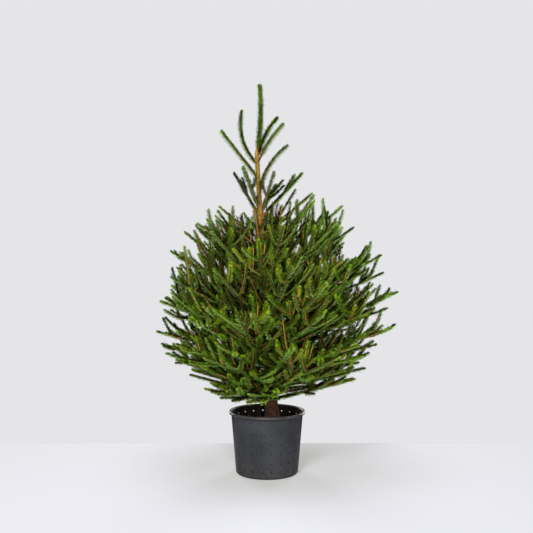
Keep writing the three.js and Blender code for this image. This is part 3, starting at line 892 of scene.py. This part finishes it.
def is_young(stem):
    """Whether a shoot's bark is still pale, and shows where its needles part below it."""
    if stem.line.c[2] > YOUNG_BARK["below"] or outness(stem.line.c) > 1:
        return False
    return stem.level == 0 or stem.seed % 10 < YOUNG_BARK["fine" if stem.fine else "side"]


def boughs_mesh():
    """Each bough from inside the trunk to its tip, with a collar, a rough skin and a knob at each knot."""
    sides = 9
    turns = turns_of(sides)
    points, corners, barks, count = [], [], [], 0
    for whorl, line, stem in boughs:
        rings = int(line.length / 8)
        t = np.linspace(0, 1, rings)
        _, across, over = line.directions(t)
        at = t * line.length
        radius = blend(whorl["radius"], 1.5, t ** 0.9)
        surface = float(trunk_radius(line.a[2]))
        radius = radius + 2.6 * np.exp(-np.maximum(0, at - surface) / 7)
        bare = line.length - stem.line.length
        for knot in knots_of(stem, GROWTH["levels"]):
            radius = radius + 0.9 * np.exp(-(((at - bare - knot) / 5) ** 2))
        round_it = np.cos(turns)[None, :, None], np.sin(turns)[None, :, None]
        outward = across[:, None] * round_it[0] + over[:, None] * round_it[1]
        skin = line.points(t)[:, None] + outward * radius[:, None, None]
        rough = np.array([[noise.noise(Vector(p) * 0.16) for p in ring] for ring in skin])
        skin = skin + outward * (rough * 0.09 * radius[:, None])[..., None]
        points.append(skin.reshape(-1, 3))
        corners.append(ring_bands(rings, sides, count))
        ring_of = (corners[-1][:, 0] - count) // sides
        barks.append((line.length * (1 - ring_of / rings) < YOUNG_BARK["for"]) & is_young(stem))
        count += rings * sides
    return mesh_of(
        "bough_bark", np.concatenate(points), np.concatenate(corners), [BOUGH_BARK, YOUNG_TWIG],
        np.concatenate(barks), smooth=True,
    )


# Twigs: tubes along the stems' lines


def grow_tree(name, inputs):
    """An empty Geometry Nodes tree with named inputs, one mesh in and one mesh out."""
    inputs = [("Geometry", "Geometry", None), *inputs]
    return new_group(name, "GeometryNodeTree", inputs, "Geometry", ("Geometry",))


def named(tree, name, kind):
    """An attribute that the source mesh carries."""
    return out_of(tree, "GeometryNodeInputNamedAttribute", {"Name": name}, data_type=kind)


def made_by(tree, source, name, values):
    """The plain mesh that a tree makes from a source mesh with the given input values."""
    maker = new_piece(name + "_maker", source)
    modifier = maker.modifiers.new(tree.name, "NODES")
    modifier.node_group = tree
    for item in tree.interface.items_tree:
        if item.in_out == "INPUT" and item.name in values:
            modifier[item.identifier] = values[item.name]
    depsgraph = bpy.context.evaluated_depsgraph_get()
    mesh = bpy.data.meshes.new_from_object(maker.evaluated_get(depsgraph), depsgraph=depsgraph)
    mesh.name = name
    maker.modifiers.clear()
    bpy.data.objects.remove(maker)
    return mesh


def finish_tree(tree, made, geometry, materials):
    """Ends a tree in Realize Instances and Set Material, one for each (material, selection)."""
    geometry = out_of(tree, "GeometryNodeRealizeInstances", {"Geometry": geometry})
    for material, chosen in materials:
        inputs = {"Geometry": geometry, "Material": material}
        if chosen is not None:
            inputs["Selection"] = chosen
        geometry = out_of(tree, "GeometryNodeSetMaterial", inputs)
    tree.links.new(geometry, made[0])


def twig_tree():
    """Makes tubes along edges, as thick as their points say, young ones in another material."""
    inputs = [
        ("Sides", "Int", 5), ("Thickness", "Float", 1.0), ("Young Twig", "Material", None),
        ("Old Twig", "Material", None),
    ]
    tree, given, made = grow_tree("twigs_along_stems", inputs)
    inputs = {
        "Curve": out_of(tree, "GeometryNodeMeshToCurve", {"Mesh": given["Geometry"]}),
        "Profile Curve": out_of(
            tree, "GeometryNodeCurvePrimitiveCircle", {"Resolution": given["Sides"], "Radius": 1.0}
        ),
        "Scale": times(tree, named(tree, "twig_radius", "FLOAT"), given["Thickness"]),
        "Fill Caps": True,
    }
    skin = out_of(tree, "GeometryNodeCurveToMesh", inputs)
    young = named(tree, "young", "BOOLEAN")
    finish_tree(tree, made, skin, [(given["Old Twig"], None), (given["Young Twig"], young)])
    return tree


def stem_radius(stem, t):
    """A stem's radius along it, from its root, by its level, to its tip."""
    if stem.mass < len(TOP_SHOOTS):
        return blend(stem.root_radius, TWIG_RADII["top_tip"], t)
    root = stem.root_radius if stem.level == 0 else TWIG_RADII["by_level"][min(stem.level, 3) - 1]
    if stem.fine and stem.level:
        root = min(root, TWIG_RADII["fine"])
    return blend(root, TWIG_RADII["tip"], t)


def twig_paths(name, chosen):
    """The lines of stems as edges, with each point's radius and whether its bark is young."""
    points, edges, radii, young = [], [], [], []
    count = 0
    for stem in chosen:
        steps = max(3, math.ceil(stem.line.length / TWIG_RADII["step"]))
        t = np.linspace(0, 1, steps + 1)
        points.append(stem.line.points(t))
        radii.append(stem_radius(stem, t))
        young.append(((1 - t) * stem.line.length < YOUNG_BARK["for"]) & is_young(stem))
        ends = np.arange(count, count + steps)
        edges.append(np.stack([ends, ends + 1], axis=1))
        count += steps + 1
    mesh = bpy.data.meshes.new(name)
    mesh.from_pydata((np.concatenate(points) * MM).tolist(), np.concatenate(edges).tolist(), [])
    radius = mesh.attributes.new("twig_radius", "FLOAT", "POINT")
    radius.data.foreach_set("value", (np.concatenate(radii) * MM).astype(np.float32))
    flag = mesh.attributes.new("young", "BOOLEAN", "POINT")
    flag.data.foreach_set("value", np.concatenate(young))
    return mesh


# Needles and buds


def needle_share(stem):
    """Shoots deep in the crown carry fewer needles than those at its outline."""
    if stem.mass < len(TOP_SHOOTS):
        return NEEDLE_SHARES["top" if stem.mass else "leader"]
    share = np.interp(outness(stem.line.c), *NEEDLE_SHARES["by_outness"])
    return float(share) * (NEEDLE_SHARES["airy"] if stem.line.a[2] > FINER["airy_above"] else 1)


def spray_of(stem, per_mm):
    """The needles of one shoot: root, direction, sideways, length and shade of each."""
    rng = np.random.default_rng(stem.seed)
    per_mm = per_mm * needle_share(stem)
    top = stem.mass < len(TOP_SHOOTS)
    leader = stem.mass == 0
    start = stem.bare_for * NEEDLE["from_bare"]["top" if top else "side" if stem.level else "main"]
    run = stem.line.length - start
    count = max(6, int(run * per_mm))
    s = start + run * (np.arange(count) + 0.5) / count
    t = s / stem.line.length
    along, across, over = stem.line.directions(t)
    turn = np.arange(count) * GOLDEN_TURN + rng.random() * 6.28 + rng.normal(0, 0.12, count)
    turn = (turn + math.pi) % (2 * math.pi) - math.pi
    parting = 0 if leader else 16 if top else NEEDLE["parting" if is_young(stem) else "closed_parting"]
    turn = turn * (1 - parting / 180)
    radial = over * np.cos(turn)[:, None] + across * np.sin(turn)[:, None]
    upness = np.cos(turn)
    lean_top, lean_side = NEEDLE["lean_top"], NEEDLE["lean_side"]
    if leader:
        lean_top = lean_side = blend(*NEEDLE["leader_lean"], t)
    elif top:
        lean_top, lean_side = NEEDLE["top_lean"]
    lean_varies = NEEDLE["lean_varies"] * (1.6 if leader else 1)
    lean = blend(lean_side, lean_top, np.clip(upness, 0, 1)) + rng.normal(0, lean_varies, count)
    if top and not leader:
        lean += NEEDLE["lean_under"] * np.clip(-upness, 0, 1)
    to_tip = stem.line.length - s
    lean = np.radians(blend(lean, NEEDLE["lean_at_tip"], np.clip(1 - to_tip / 12, 0, 1)))
    direction = along * np.cos(lean)[:, None] + radial * np.sin(lean)[:, None]
    direction = direction + UP * (NEEDLE["lift"] * np.clip(-upness, 0, 1))[:, None]
    direction = unit(direction + rng.normal(0, 0.05, (count, 3)))
    far = outness(stem.line.c)
    length = blend(NEEDLE["inner_length"], NEEDLE["length"], np.interp(far, (0.4, 0.8), (0, 1)))
    length = length * (0.94 if top and not leader else 0.95 if leader else 1)
    length = length * (1 + rng.normal(0, NEEDLE["length_varies"], count) * 0.6)
    length *= 0.9 + 0.14 * rng.random()
    length *= np.clip(0.55 + (s - start) / 22, 0, 1) * np.clip(0.7 + to_tip / 30, 0, 1)
    root = stem.line.points(t) + radial * (stem_radius(stem, t) * 0.7)[:, None]
    sideways = unit(np.cross(direction, radial))
    # Needles deeper inside the crown are painted darker, as shade.
    depth = 1 - outness(stem.line.points(t))
    # Sprays low in the crown are painted darker, as the shade beneath it.
    low = ramp(stem.line.c[2], TONE["low_shade_between"], 1, 0)
    # Sprays at the crown's outline are painted darker, as shade on its edge.
    edge = ramp(far, TONE["outline_shade_between"])
    if top:
        tone = TOP_SHADES[stem.mass]
    else:
        tone = depth * TONE["painted_shade_inwards"] + TONE["outside"] + TONE["low"] * low
        tone = tone + rng.normal(0, TONE["varies"] + TONE["low_varies"] * low) + TONE["outline_shade"] * edge
        # Sprays far to either side are painted darker, as shade away from the front light.
        tone = tone + TONE["aside"] * ramp(abs(stem.line.c[0]), TONE["side_shade_between"])
        tone = tone + ramp(stem.line.c[2], TONE["high_between"])
    upper = tone + rng.normal(0, TONE["needle_varies"], count)
    # Older needles are darker and young tips lighter, but at the outline the tips are painted darker, as
    # shade.
    upper += (to_tip > 90) * 0.8 - (to_tip < 18) * blend(1.3, -0.3, edge)
    shade = np.clip(np.round(upper), 0, UPPER_TONES - 1).astype(int)
    # Undersides take pale, grey or dull green, duller deeper in the crown as painted shade.
    below = UPPER_TONES + int(np.clip(round(0.3 + (1 - far) * 3.4 + rng.normal(0, 0.5)), 0, 2))
    shade = np.where(upness < (-2 if leader else -0.25), below, shade)
    half_width = blend(NEEDLE["width"], NEEDLE["inner_width"], np.interp(far, (0.3, 0.7), (1, 0))) / 2
    if leader:
        length *= to_tip > 15
    return root, direction, sideways * half_width, length, shade


def needles_mesh(name, sprays, materials):
    """Needles as slim kites with a ridge, four triangles each."""
    root, direction, half, length, shade = (np.concatenate(part) for part in zip(*sprays))
    kept = length > 0
    root, direction, half, length, shade = (part[kept] for part in (root, direction, half, length, shade))
    ridge = unit(np.cross(half, direction))
    middle = root + direction * (length * NEEDLE["widest"])[:, None]
    below = middle - ridge * NEEDLE["depth"]
    points = np.stack([root, below + half, below - half, root + direction * length[:, None]], axis=1)
    start = np.arange(len(root))[:, None] * 4
    pattern = np.array([0, 1, 3, 0, 3, 2, 0, 2, 1, 1, 2, 3])
    corners = start + pattern[None]
    return mesh_of(name, points.reshape(-1, 3), corners, materials, np.repeat(shade, 4))


def buds_mesh(chosen):
    """A pointed bud at each shoot's tip, in three bands, with a few beside the leader's."""
    rings = np.array([(0.0, 0.72), (0.34, 1.0), (0.7, 0.72)])
    turns = turns_of(5)
    fan = [[5 * 2 + i, 5 * 2 + (i + 1) % 5, 15] for i in range(5)]
    bands = ring_bands(3, 5)[:-3]
    corners_of_one = np.concatenate([bands, fan])
    points, corners, kinds, count = [], [], [], 0
    for stem in chosen:
        along, across, over = (d[0] for d in stem.line.directions([1.0]))
        tip = stem.line.c
        leader = stem.mass == 0
        length, radius = BUDS["leader" if leader else "strong" if stem.level < 3 else "fine"]
        places = [(tip - along * (15 if leader else 2), along, length, radius)]
        if leader or stem.level == 0:
            for turn in (0.4, 1.7, 2.9, 4.2, 5.4) if leader else (0.4, 2.5):
                out = across * math.cos(turn) + over * math.sin(turn)
                root = tip - along * 19 + out * 2.5 if leader else tip - along * 5 + out
                places.append((root, unit(along + out * 0.45), length * 0.8, radius * 0.8))
        for base, way, long, wide in places:
            side = unit(np.cross(way, over + 0.3 * across))
            other = np.cross(way, side)
            around = side[None] * np.cos(turns)[:, None] + other[None] * np.sin(turns)[:, None]
            body = [base + way * (long * up) + around * (wide * out) for up, out in rings]
            points.append(np.concatenate([*body, (base + way * long)[None]]))
            corners.append(corners_of_one + count)
            kinds.append(np.full(len(corners_of_one), 1 if leader else 0))
            count += 16
    return mesh_of(
        "buds", np.concatenate(points), np.concatenate(corners), [BUD_SCALES, LEADER_BUD],
        np.concatenate(kinds), smooth=True,
    )


trunk = new_piece("trunk_with_bark", trunk_mesh())
dress(trunk, "bark", "trunk")
limb_names = [f"bough_{w['name']}_{b + 1}" for w in WHORLS if w["limb"] for b in range(len(w["boughs"]))]
limbs = new_piece("boughs_with_bark", boughs_mesh())
dress(limbs, "bark", *limb_names)

TWIGS = twig_tree()
side_stems = [stem for stem in stems if stem.level or stem.mass < len(TOP_SHOOTS)]
for name, sides, fine in (("side_twigs", 5, False), ("fine_twigs", 4, True)):
    paths = twig_paths(name, [stem for stem in side_stems if stem.fine == fine])
    values = {"Sides": sides, "Young Twig": YOUNG_TWIG, "Old Twig": OLD_TWIG}
    twigs = new_piece(name, made_by(TWIGS, paths, name, values))
    twigs.data.shade_smooth()
    dress(twigs, "bark")

buds = new_piece("buds", buds_mesh([stem for stem in stems if outness(stem.line.c) > 0.5]))
dress(buds, "bark")

needle_run = sum(stem.line.length * needle_share(stem) for stem in stems)
per_mm = NEEDLE["count"] / needle_run
tiers = {"top": [k for k in range(len(TOP_SHOOTS))]}
for mass_number, mass in enumerate(masses[len(TOP_SHOOTS) :], len(TOP_SHOOTS)):
    tier = mass["name"] if mass["name"].startswith("below") else mass["name"].rsplit("_", 1)[0]
    tiers.setdefault(tier, []).append(mass_number)
young_trunk = Stem(
    Line(*(trunk_at(z) for z in YOUNG_TRUNK["heights"])), YOUNG_TRUNK["radius"], 0, LEADER_SPIKE,
    GROWTH["levels"], SEED + 50, 1,
)
for tier, numbers in tiers.items():
    sprays = [spray_of(stem, per_mm) for stem in stems if stem.mass in numbers]
    if tier == "top":
        sprays.append(spray_of(young_trunk, per_mm * YOUNG_TRUNK["share"]))
    needles = new_piece(f"needles_{tier}", needles_mesh(f"needles_{tier}", sprays, NEEDLE_MATERIALS))
    nodes = [f"foliage_{masses[k]['name']}" for k in numbers if not tier.startswith("below")]
    dress(needles, "needles", *nodes)


# The pot, its compost and what lies on it


def faced_mesh(name, points, faces):
    """A mesh from points in millimetres and faces of three or four corners."""
    mesh = bpy.data.meshes.new(name)
    mesh.from_pydata([tuple(c * MM for c in p) for p in points], [], faces)
    mesh.update()
    return mesh


def turned_mesh(name, profile, around):
    """A closed piece turned about Z from [radius, height] points that start and end on the axis."""
    turns = turns_of(around)
    rings = [[(r * math.cos(a), r * math.sin(a), z) for a in turns] for r, z in profile[1:-1]]
    points = [(0, 0, profile[0][1])] + [p for ring in rings for p in ring] + [(0, 0, profile[-1][1])]
    last = 1 + (len(rings) - 1) * around
    faces = []
    for i in range(around):
        j = (i + 1) % around
        faces.append((0, 1 + j, 1 + i))
        faces.append((len(points) - 1, last + i, last + j))
        for k in range(len(rings) - 1):
            a, b = 1 + k * around, 1 + (k + 1) * around
            faces.append((a + i, a + j, b + j, b + i))
    return faced_mesh(name, points, faces)


def wall_radius(z):
    share = (z - POT["foot_round"]) / (POT["height"] - POT["lip_height"] - POT["foot_round"])
    return blend(POT["wall_foot_radius"], POT["wall_top_radius"], share)


def rounded(centre_r, centre_z, radius, start, end, steps):
    """Points of an arc in the profile, in degrees from straight out towards straight up."""
    turns = np.radians(np.linspace(start, end, steps))
    return [(centre_r + radius * math.cos(a), centre_z + radius * math.sin(a)) for a in turns]


def pot_shell():
    """The tub's wall with its rounded foot, the step under its lip and the lip's rolled edge."""
    foot, wall = POT["foot_round"], POT["wall"]
    flat = POT["wall_foot_radius"] - foot
    outer = [(wall_radius(z), z) for z in np.linspace(foot + 4, 224, 9)]
    inner = [(wall_radius(z) - wall, z) for z in np.linspace(224, foot + 4, 9)]
    lip = [
        (140.4, 228), (142.2, 230.4), (145.2, 231.8), *rounded(146.2, 235.6, 3.8, -80, 60, 8),
        *rounded(145.4, 238.2, 4.8, 40, 88, 5), (143.4, 242.8), (141.4, 241.2), (140.2, 238), (139.2, 233),
    ]
    profile = [
        (0, 2), (88, 2), (92, 0.4), (94, 0), (flat - 2, 0),
        *rounded(flat, foot, foot, -90, 0, 8), *outer, *lip, *inner,
        *rounded(flat, foot + 1, foot - wall, 0, -90, 6), (0, POT["floor"] + 1),
    ]
    return turned_mesh("pot_shell", profile, 176)


def perforation_tree():
    """Cuts rows of round holes through the wall and rings of them through the base."""
    rows = [(f"Row {k + 1} Height", z * MM) for k, z in enumerate(HOLES["rows"])]
    inputs = [
        ("Holes Around", "Int", 22), ("Hole Diameter", "Float", 0.0052), ("First Hole Turn", "Float", 0.0),
        ("Wall Radius", "Float", 0.131), ("Plastic", "Material", None),
        *((label, "Float", height) for label, height in rows),
    ]
    tree, given, made = grow_tree("pot_perforations", inputs)
    inputs = {"Vertices": HOLES["sides"], "Radius": times(tree, given["Hole Diameter"], 0.5), "Depth": 0.03}
    drill = out_of(tree, "GeometryNodeMeshCylinder", inputs)
    turn = out_of(tree, "ShaderNodeCombineXYZ", {"Z": given["First Hole Turn"]})
    inputs = {"Vertices": given["Holes Around"], "Radius": given["Wall Radius"]}
    ring = out_of(tree, "GeometryNodeMeshCircle", inputs)
    join = tree.nodes.new("GeometryNodeJoinGeometry")
    for label, _ in rows:
        lift = out_of(tree, "ShaderNodeCombineXYZ", {"Z": given[label]})
        inputs = {"Geometry": ring, "Translation": lift, "Rotation": turn}
        tree.links.new(out_of(tree, "GeometryNodeTransform", inputs), join.inputs[0])
    outward = vectors(tree, out_of(tree, "GeometryNodeInputPosition"), (1, 1, 0), "MULTIPLY")
    facing = out_of(tree, "FunctionNodeAlignRotationToVector", {"Vector": outward}, axis="Z")
    inputs = {"Points": join.outputs[0], "Instance": drill, "Rotation": facing}
    every = tree.nodes.new("GeometryNodeJoinGeometry")
    tree.links.new(out_of(tree, "GeometryNodeInstanceOnPoints", inputs), every.inputs[0])
    for count, radius in HOLES["base"]:
        base = out_of(tree, "GeometryNodeMeshCircle", {"Vertices": count, "Radius": radius * MM})
        holes = out_of(tree, "GeometryNodeInstanceOnPoints", {"Points": base, "Instance": drill})
        tree.links.new(holes, every.inputs[0])
    cutters = out_of(tree, "GeometryNodeRealizeInstances", {"Geometry": every.outputs[0]})
    inputs = {"Mesh 1": given["Geometry"], "Mesh 2": cutters}
    cut = out_of(tree, "GeometryNodeMeshBoolean", inputs, operation="DIFFERENCE", solver="EXACT")
    finish_tree(tree, made, cut, [(given["Plastic"], None)])
    return tree


def compost_mesh():
    """Compost with a clumpy top that rises to the trunk."""
    around, wall = 110, POT["wall"] + 0.3
    turns = turns_of(around)
    top_radius = wall_radius(COMPOST_TOP) - wall - 0.4
    radii = np.append(np.linspace(4, top_radius - 3, 38), top_radius)
    points = [(0, 0, COMPOST_TOP + 3)]
    for r in radii:
        for a in turns:
            x, y = r * math.cos(a), r * math.sin(a)
            at = Vector((x, y, 3.0))
            lumps = noise.fractal(at * 0.045, 1.0, 2.0, 4) * 3.4 + abs(noise.noise(at * 0.16)) * 3.2
            mound = 7 * math.exp(-((math.hypot(x - 20, y) / 46) ** 2))
            edge = min(1, (top_radius - r) / 12)
            points.append((x, y, COMPOST_TOP - 4 + (lumps + mound) * (0.35 + 0.65 * edge)))
    side_heights = (150, 60, 14)
    for z in side_heights:
        r = wall_radius(z) - wall
        points += [(r * math.cos(a), r * math.sin(a), z) for a in turns]
    points += [(100 * math.cos(a), 100 * math.sin(a), 5) for a in turns] + [(0, 0, 5)]
    rings = len(radii) + len(side_heights) + 1
    faces = []
    for i in range(around):
        j = (i + 1) % around
        faces.append((0, 1 + i, 1 + j))
        for k in range(rings - 1):
            a, b = 1 + k * around, 1 + (k + 1) * around
            faces.append((a + j, a + i, b + i, b + j))
        last = 1 + (rings - 1) * around
        faces.append((len(points) - 1, last + j, last + i))
    mesh = faced_mesh("compost", points, faces)
    mesh.materials.append(COMPOST)
    mesh.shade_smooth()
    return mesh


def crumb_tree():
    """Scatters crumbs and chips over the top of the compost."""
    inputs = [
        ("Crumb Size", "Float", 0.002), ("Crumbs per Square Metre", "Float", 9000.0), ("Seed", "Int", SEED),
        ("Crumb", "Material", None), ("Chip", "Material", None),
    ]
    tree, given, made = grow_tree("crumbs_on_compost", inputs)
    height = height_of(tree, out_of(tree, "GeometryNodeInputPosition"))
    inputs = {0: height, 1: (COMPOST_TOP - 8) * MM}
    inputs = {
        "Mesh": given["Geometry"], "Density": given["Crumbs per Square Metre"], "Seed": given["Seed"],
        "Selection": out_of(tree, "FunctionNodeCompare", inputs, operation="GREATER_THAN"),
    }
    points = out_of(tree, "GeometryNodeDistributePointsOnFaces", inputs)
    inputs = {0: (0.35, 0.4, 0.3), 1: (1.7, 1.3, 1.0), "Seed": 3}
    scale = out_of(tree, "FunctionNodeRandomValue", inputs, data_type="FLOAT_VECTOR")
    inputs = {1: (6.28, 6.28, 6.28), "Seed": 5}
    turn = out_of(tree, "FunctionNodeRandomValue", inputs, data_type="FLOAT_VECTOR")
    inputs = {"Radius": given["Crumb Size"], "Subdivisions": 1}
    crumb = out_of(tree, "GeometryNodeMeshIcoSphere", inputs)
    inputs = {"Points": points, "Instance": crumb, "Rotation": turn, "Scale": scale}
    crumbs = out_of(tree, "GeometryNodeInstanceOnPoints", inputs)
    inputs = {"Probability": 0.07, "Seed": 8}
    chosen = add(tree, "FunctionNodeRandomValue", inputs, data_type="BOOLEAN").outputs[3]
    inputs = {"Geometry": crumbs, "Name": "chip", "Value": chosen}
    store = out_of(tree, "GeometryNodeStoreNamedAttribute", inputs, data_type="BOOLEAN", domain="INSTANCE")
    is_chip = named(tree, "chip", "BOOLEAN")
    finish_tree(tree, made, store, [(given["Crumb"], None), (given["Chip"], is_chip)])
    return tree


pot_values = {"First Hole Turn": math.radians(HOLES["first_turn"]), "Plastic": POT_PLASTIC}
pot = new_piece("perforated_pot", made_by(perforation_tree(), pot_shell(), "perforated_pot", pot_values))
pot.data.materials.clear()
pot.data.materials.append(POT_PLASTIC)
pot.data.materials.append(SHADED_SOILED_PLASTIC)
# Inner faces below the lip take the near-black plastic, which is painted shade, with soil on it.
for face in pot.data.polygons:
    out = face.center.x * face.normal.x + face.center.y * face.normal.y
    face.material_index = int(out < 0 and face.center.z < SHADED_SOILED_BELOW * MM and face.normal.z > -0.5)
pot.data.shade_smooth()
pot.data.set_sharp_from_angle(angle=math.radians(38))
dress(pot, "pot", "pot")

compost = new_piece("compost_top", compost_mesh())
dress(compost, "compost", "compost")
crumb_values = {"Crumb": CRUMB, "Chip": PALE_CHIP}
crumbs_mesh = made_by(crumb_tree(), compost.data.copy(), "compost_crumbs", crumb_values)
crumbs = new_piece("compost_crumbs", crumbs_mesh)
dress(crumbs, "compost")


# The floor, the light and the camera


def lit_and_seen(tree, lit, seen, end):
    """Ends a material or a world: the plant is lit by one shader, and the camera sees the other."""
    to_camera = add(tree, "ShaderNodeLightPath").outputs["Is Camera Ray"]
    both = out_of(tree, "ShaderNodeMixShader", {0: to_camera, 1: lit.outputs[0], 2: seen.outputs[0]})
    tree.links.new(both, tree.nodes[end].inputs["Surface"])


def studio_white():
    """A white floor that looks a little brighter than it lights the plant, even to its edges."""
    material, tree, shader = new_material("studio_white", "9496a8", 0.9, 0.1)
    glow = add(tree, "ShaderNodeEmission", {"Color": colour("fffce8"), "Strength": 0.3})
    brighter = add(tree, "ShaderNodeAddShader", {0: shader.outputs[0], 1: glow.outputs[0]})
    lit_and_seen(tree, shader, brighter, "Material Output")
    return material


def floor_mesh():
    """The floor sheet, in metres, wide and near the viewer but ending close behind the plant."""
    wide, behind = 9, 0.49
    mesh = bpy.data.meshes.new("floor")
    corners = [(-wide, -wide, 0), (wide, -wide, 0), (wide, behind, 0), (-wide, behind, 0)]
    mesh.from_pydata(corners, [], [(0, 1, 2, 3)])
    mesh.materials.append(studio_white())
    return mesh


floor = new_piece("studio_floor", floor_mesh())


def soft_light(name, at, toward_height, size, watts, tint):
    """A square lamp that faces the plant's axis at a height, all in metres."""
    data = bpy.data.lights.new(name, "AREA")
    data.shape, data.size, data.energy, data.color = "SQUARE", size, watts, tint
    lamp = new_piece(name, data)
    lamp.location = at
    lamp.rotation_mode = "QUATERNION"
    lamp.rotation_quaternion = (Vector((0, 0, toward_height)) - Vector(at)).to_track_quat("-Z", "Y")
    return lamp


soft_light("front_left", (-1.2, -4.6, 3.8), 0.75, 1.5, 350, (1, 0.985, 0.85))
soft_light("front_right", (2.2, -2.0, 2.0), 0.7, 1.2, 10, (1, 0.99, 0.97))
soft_light("front_centre", (0.35, -3.5, 0.9), 0.3, 0.35, 70, (1, 1, 1))
soft_light("overhead", (-0.1, -0.2, 3.6), 0.6, 2.0, 84, (1, 1, 1))
for side in (-1, 1):
    lamp = soft_light(f"back_{side + 2}", (side * 1.9, 3.4, 1.5), 0.75, 1.6, 95, (1, 0.98, 0.9))
    lamp.visible_camera = False


def studio_world():
    """A pale wall behind everything, which lights the plant less than it shows."""
    world = bpy.data.worlds.new("studio")
    world.use_nodes = True
    tree = world.node_tree
    seen = tree.nodes["Background"]
    seen.inputs["Color"].default_value = colour("e5e5e7")
    lit = add(tree, "ShaderNodeBackground", {"Color": colour("e5e5e7"), "Strength": 0.025})
    lit_and_seen(tree, lit, seen, "World Output")
    return world


bpy.context.scene.world = studio_world()

camera_data = bpy.data.cameras.new("camera")
camera_data.sensor_width = 36
camera_data.lens = 51.6
camera = new_piece("camera", camera_data)
camera.location = (EYE["aside"] * MM, -EYE["distance"] * MM, EYE["height"] * MM)
camera.rotation_euler = (math.radians(90), 0, 0)
bpy.context.scene.camera = camera

bpy.context.scene.view_settings.view_transform = "Standard"
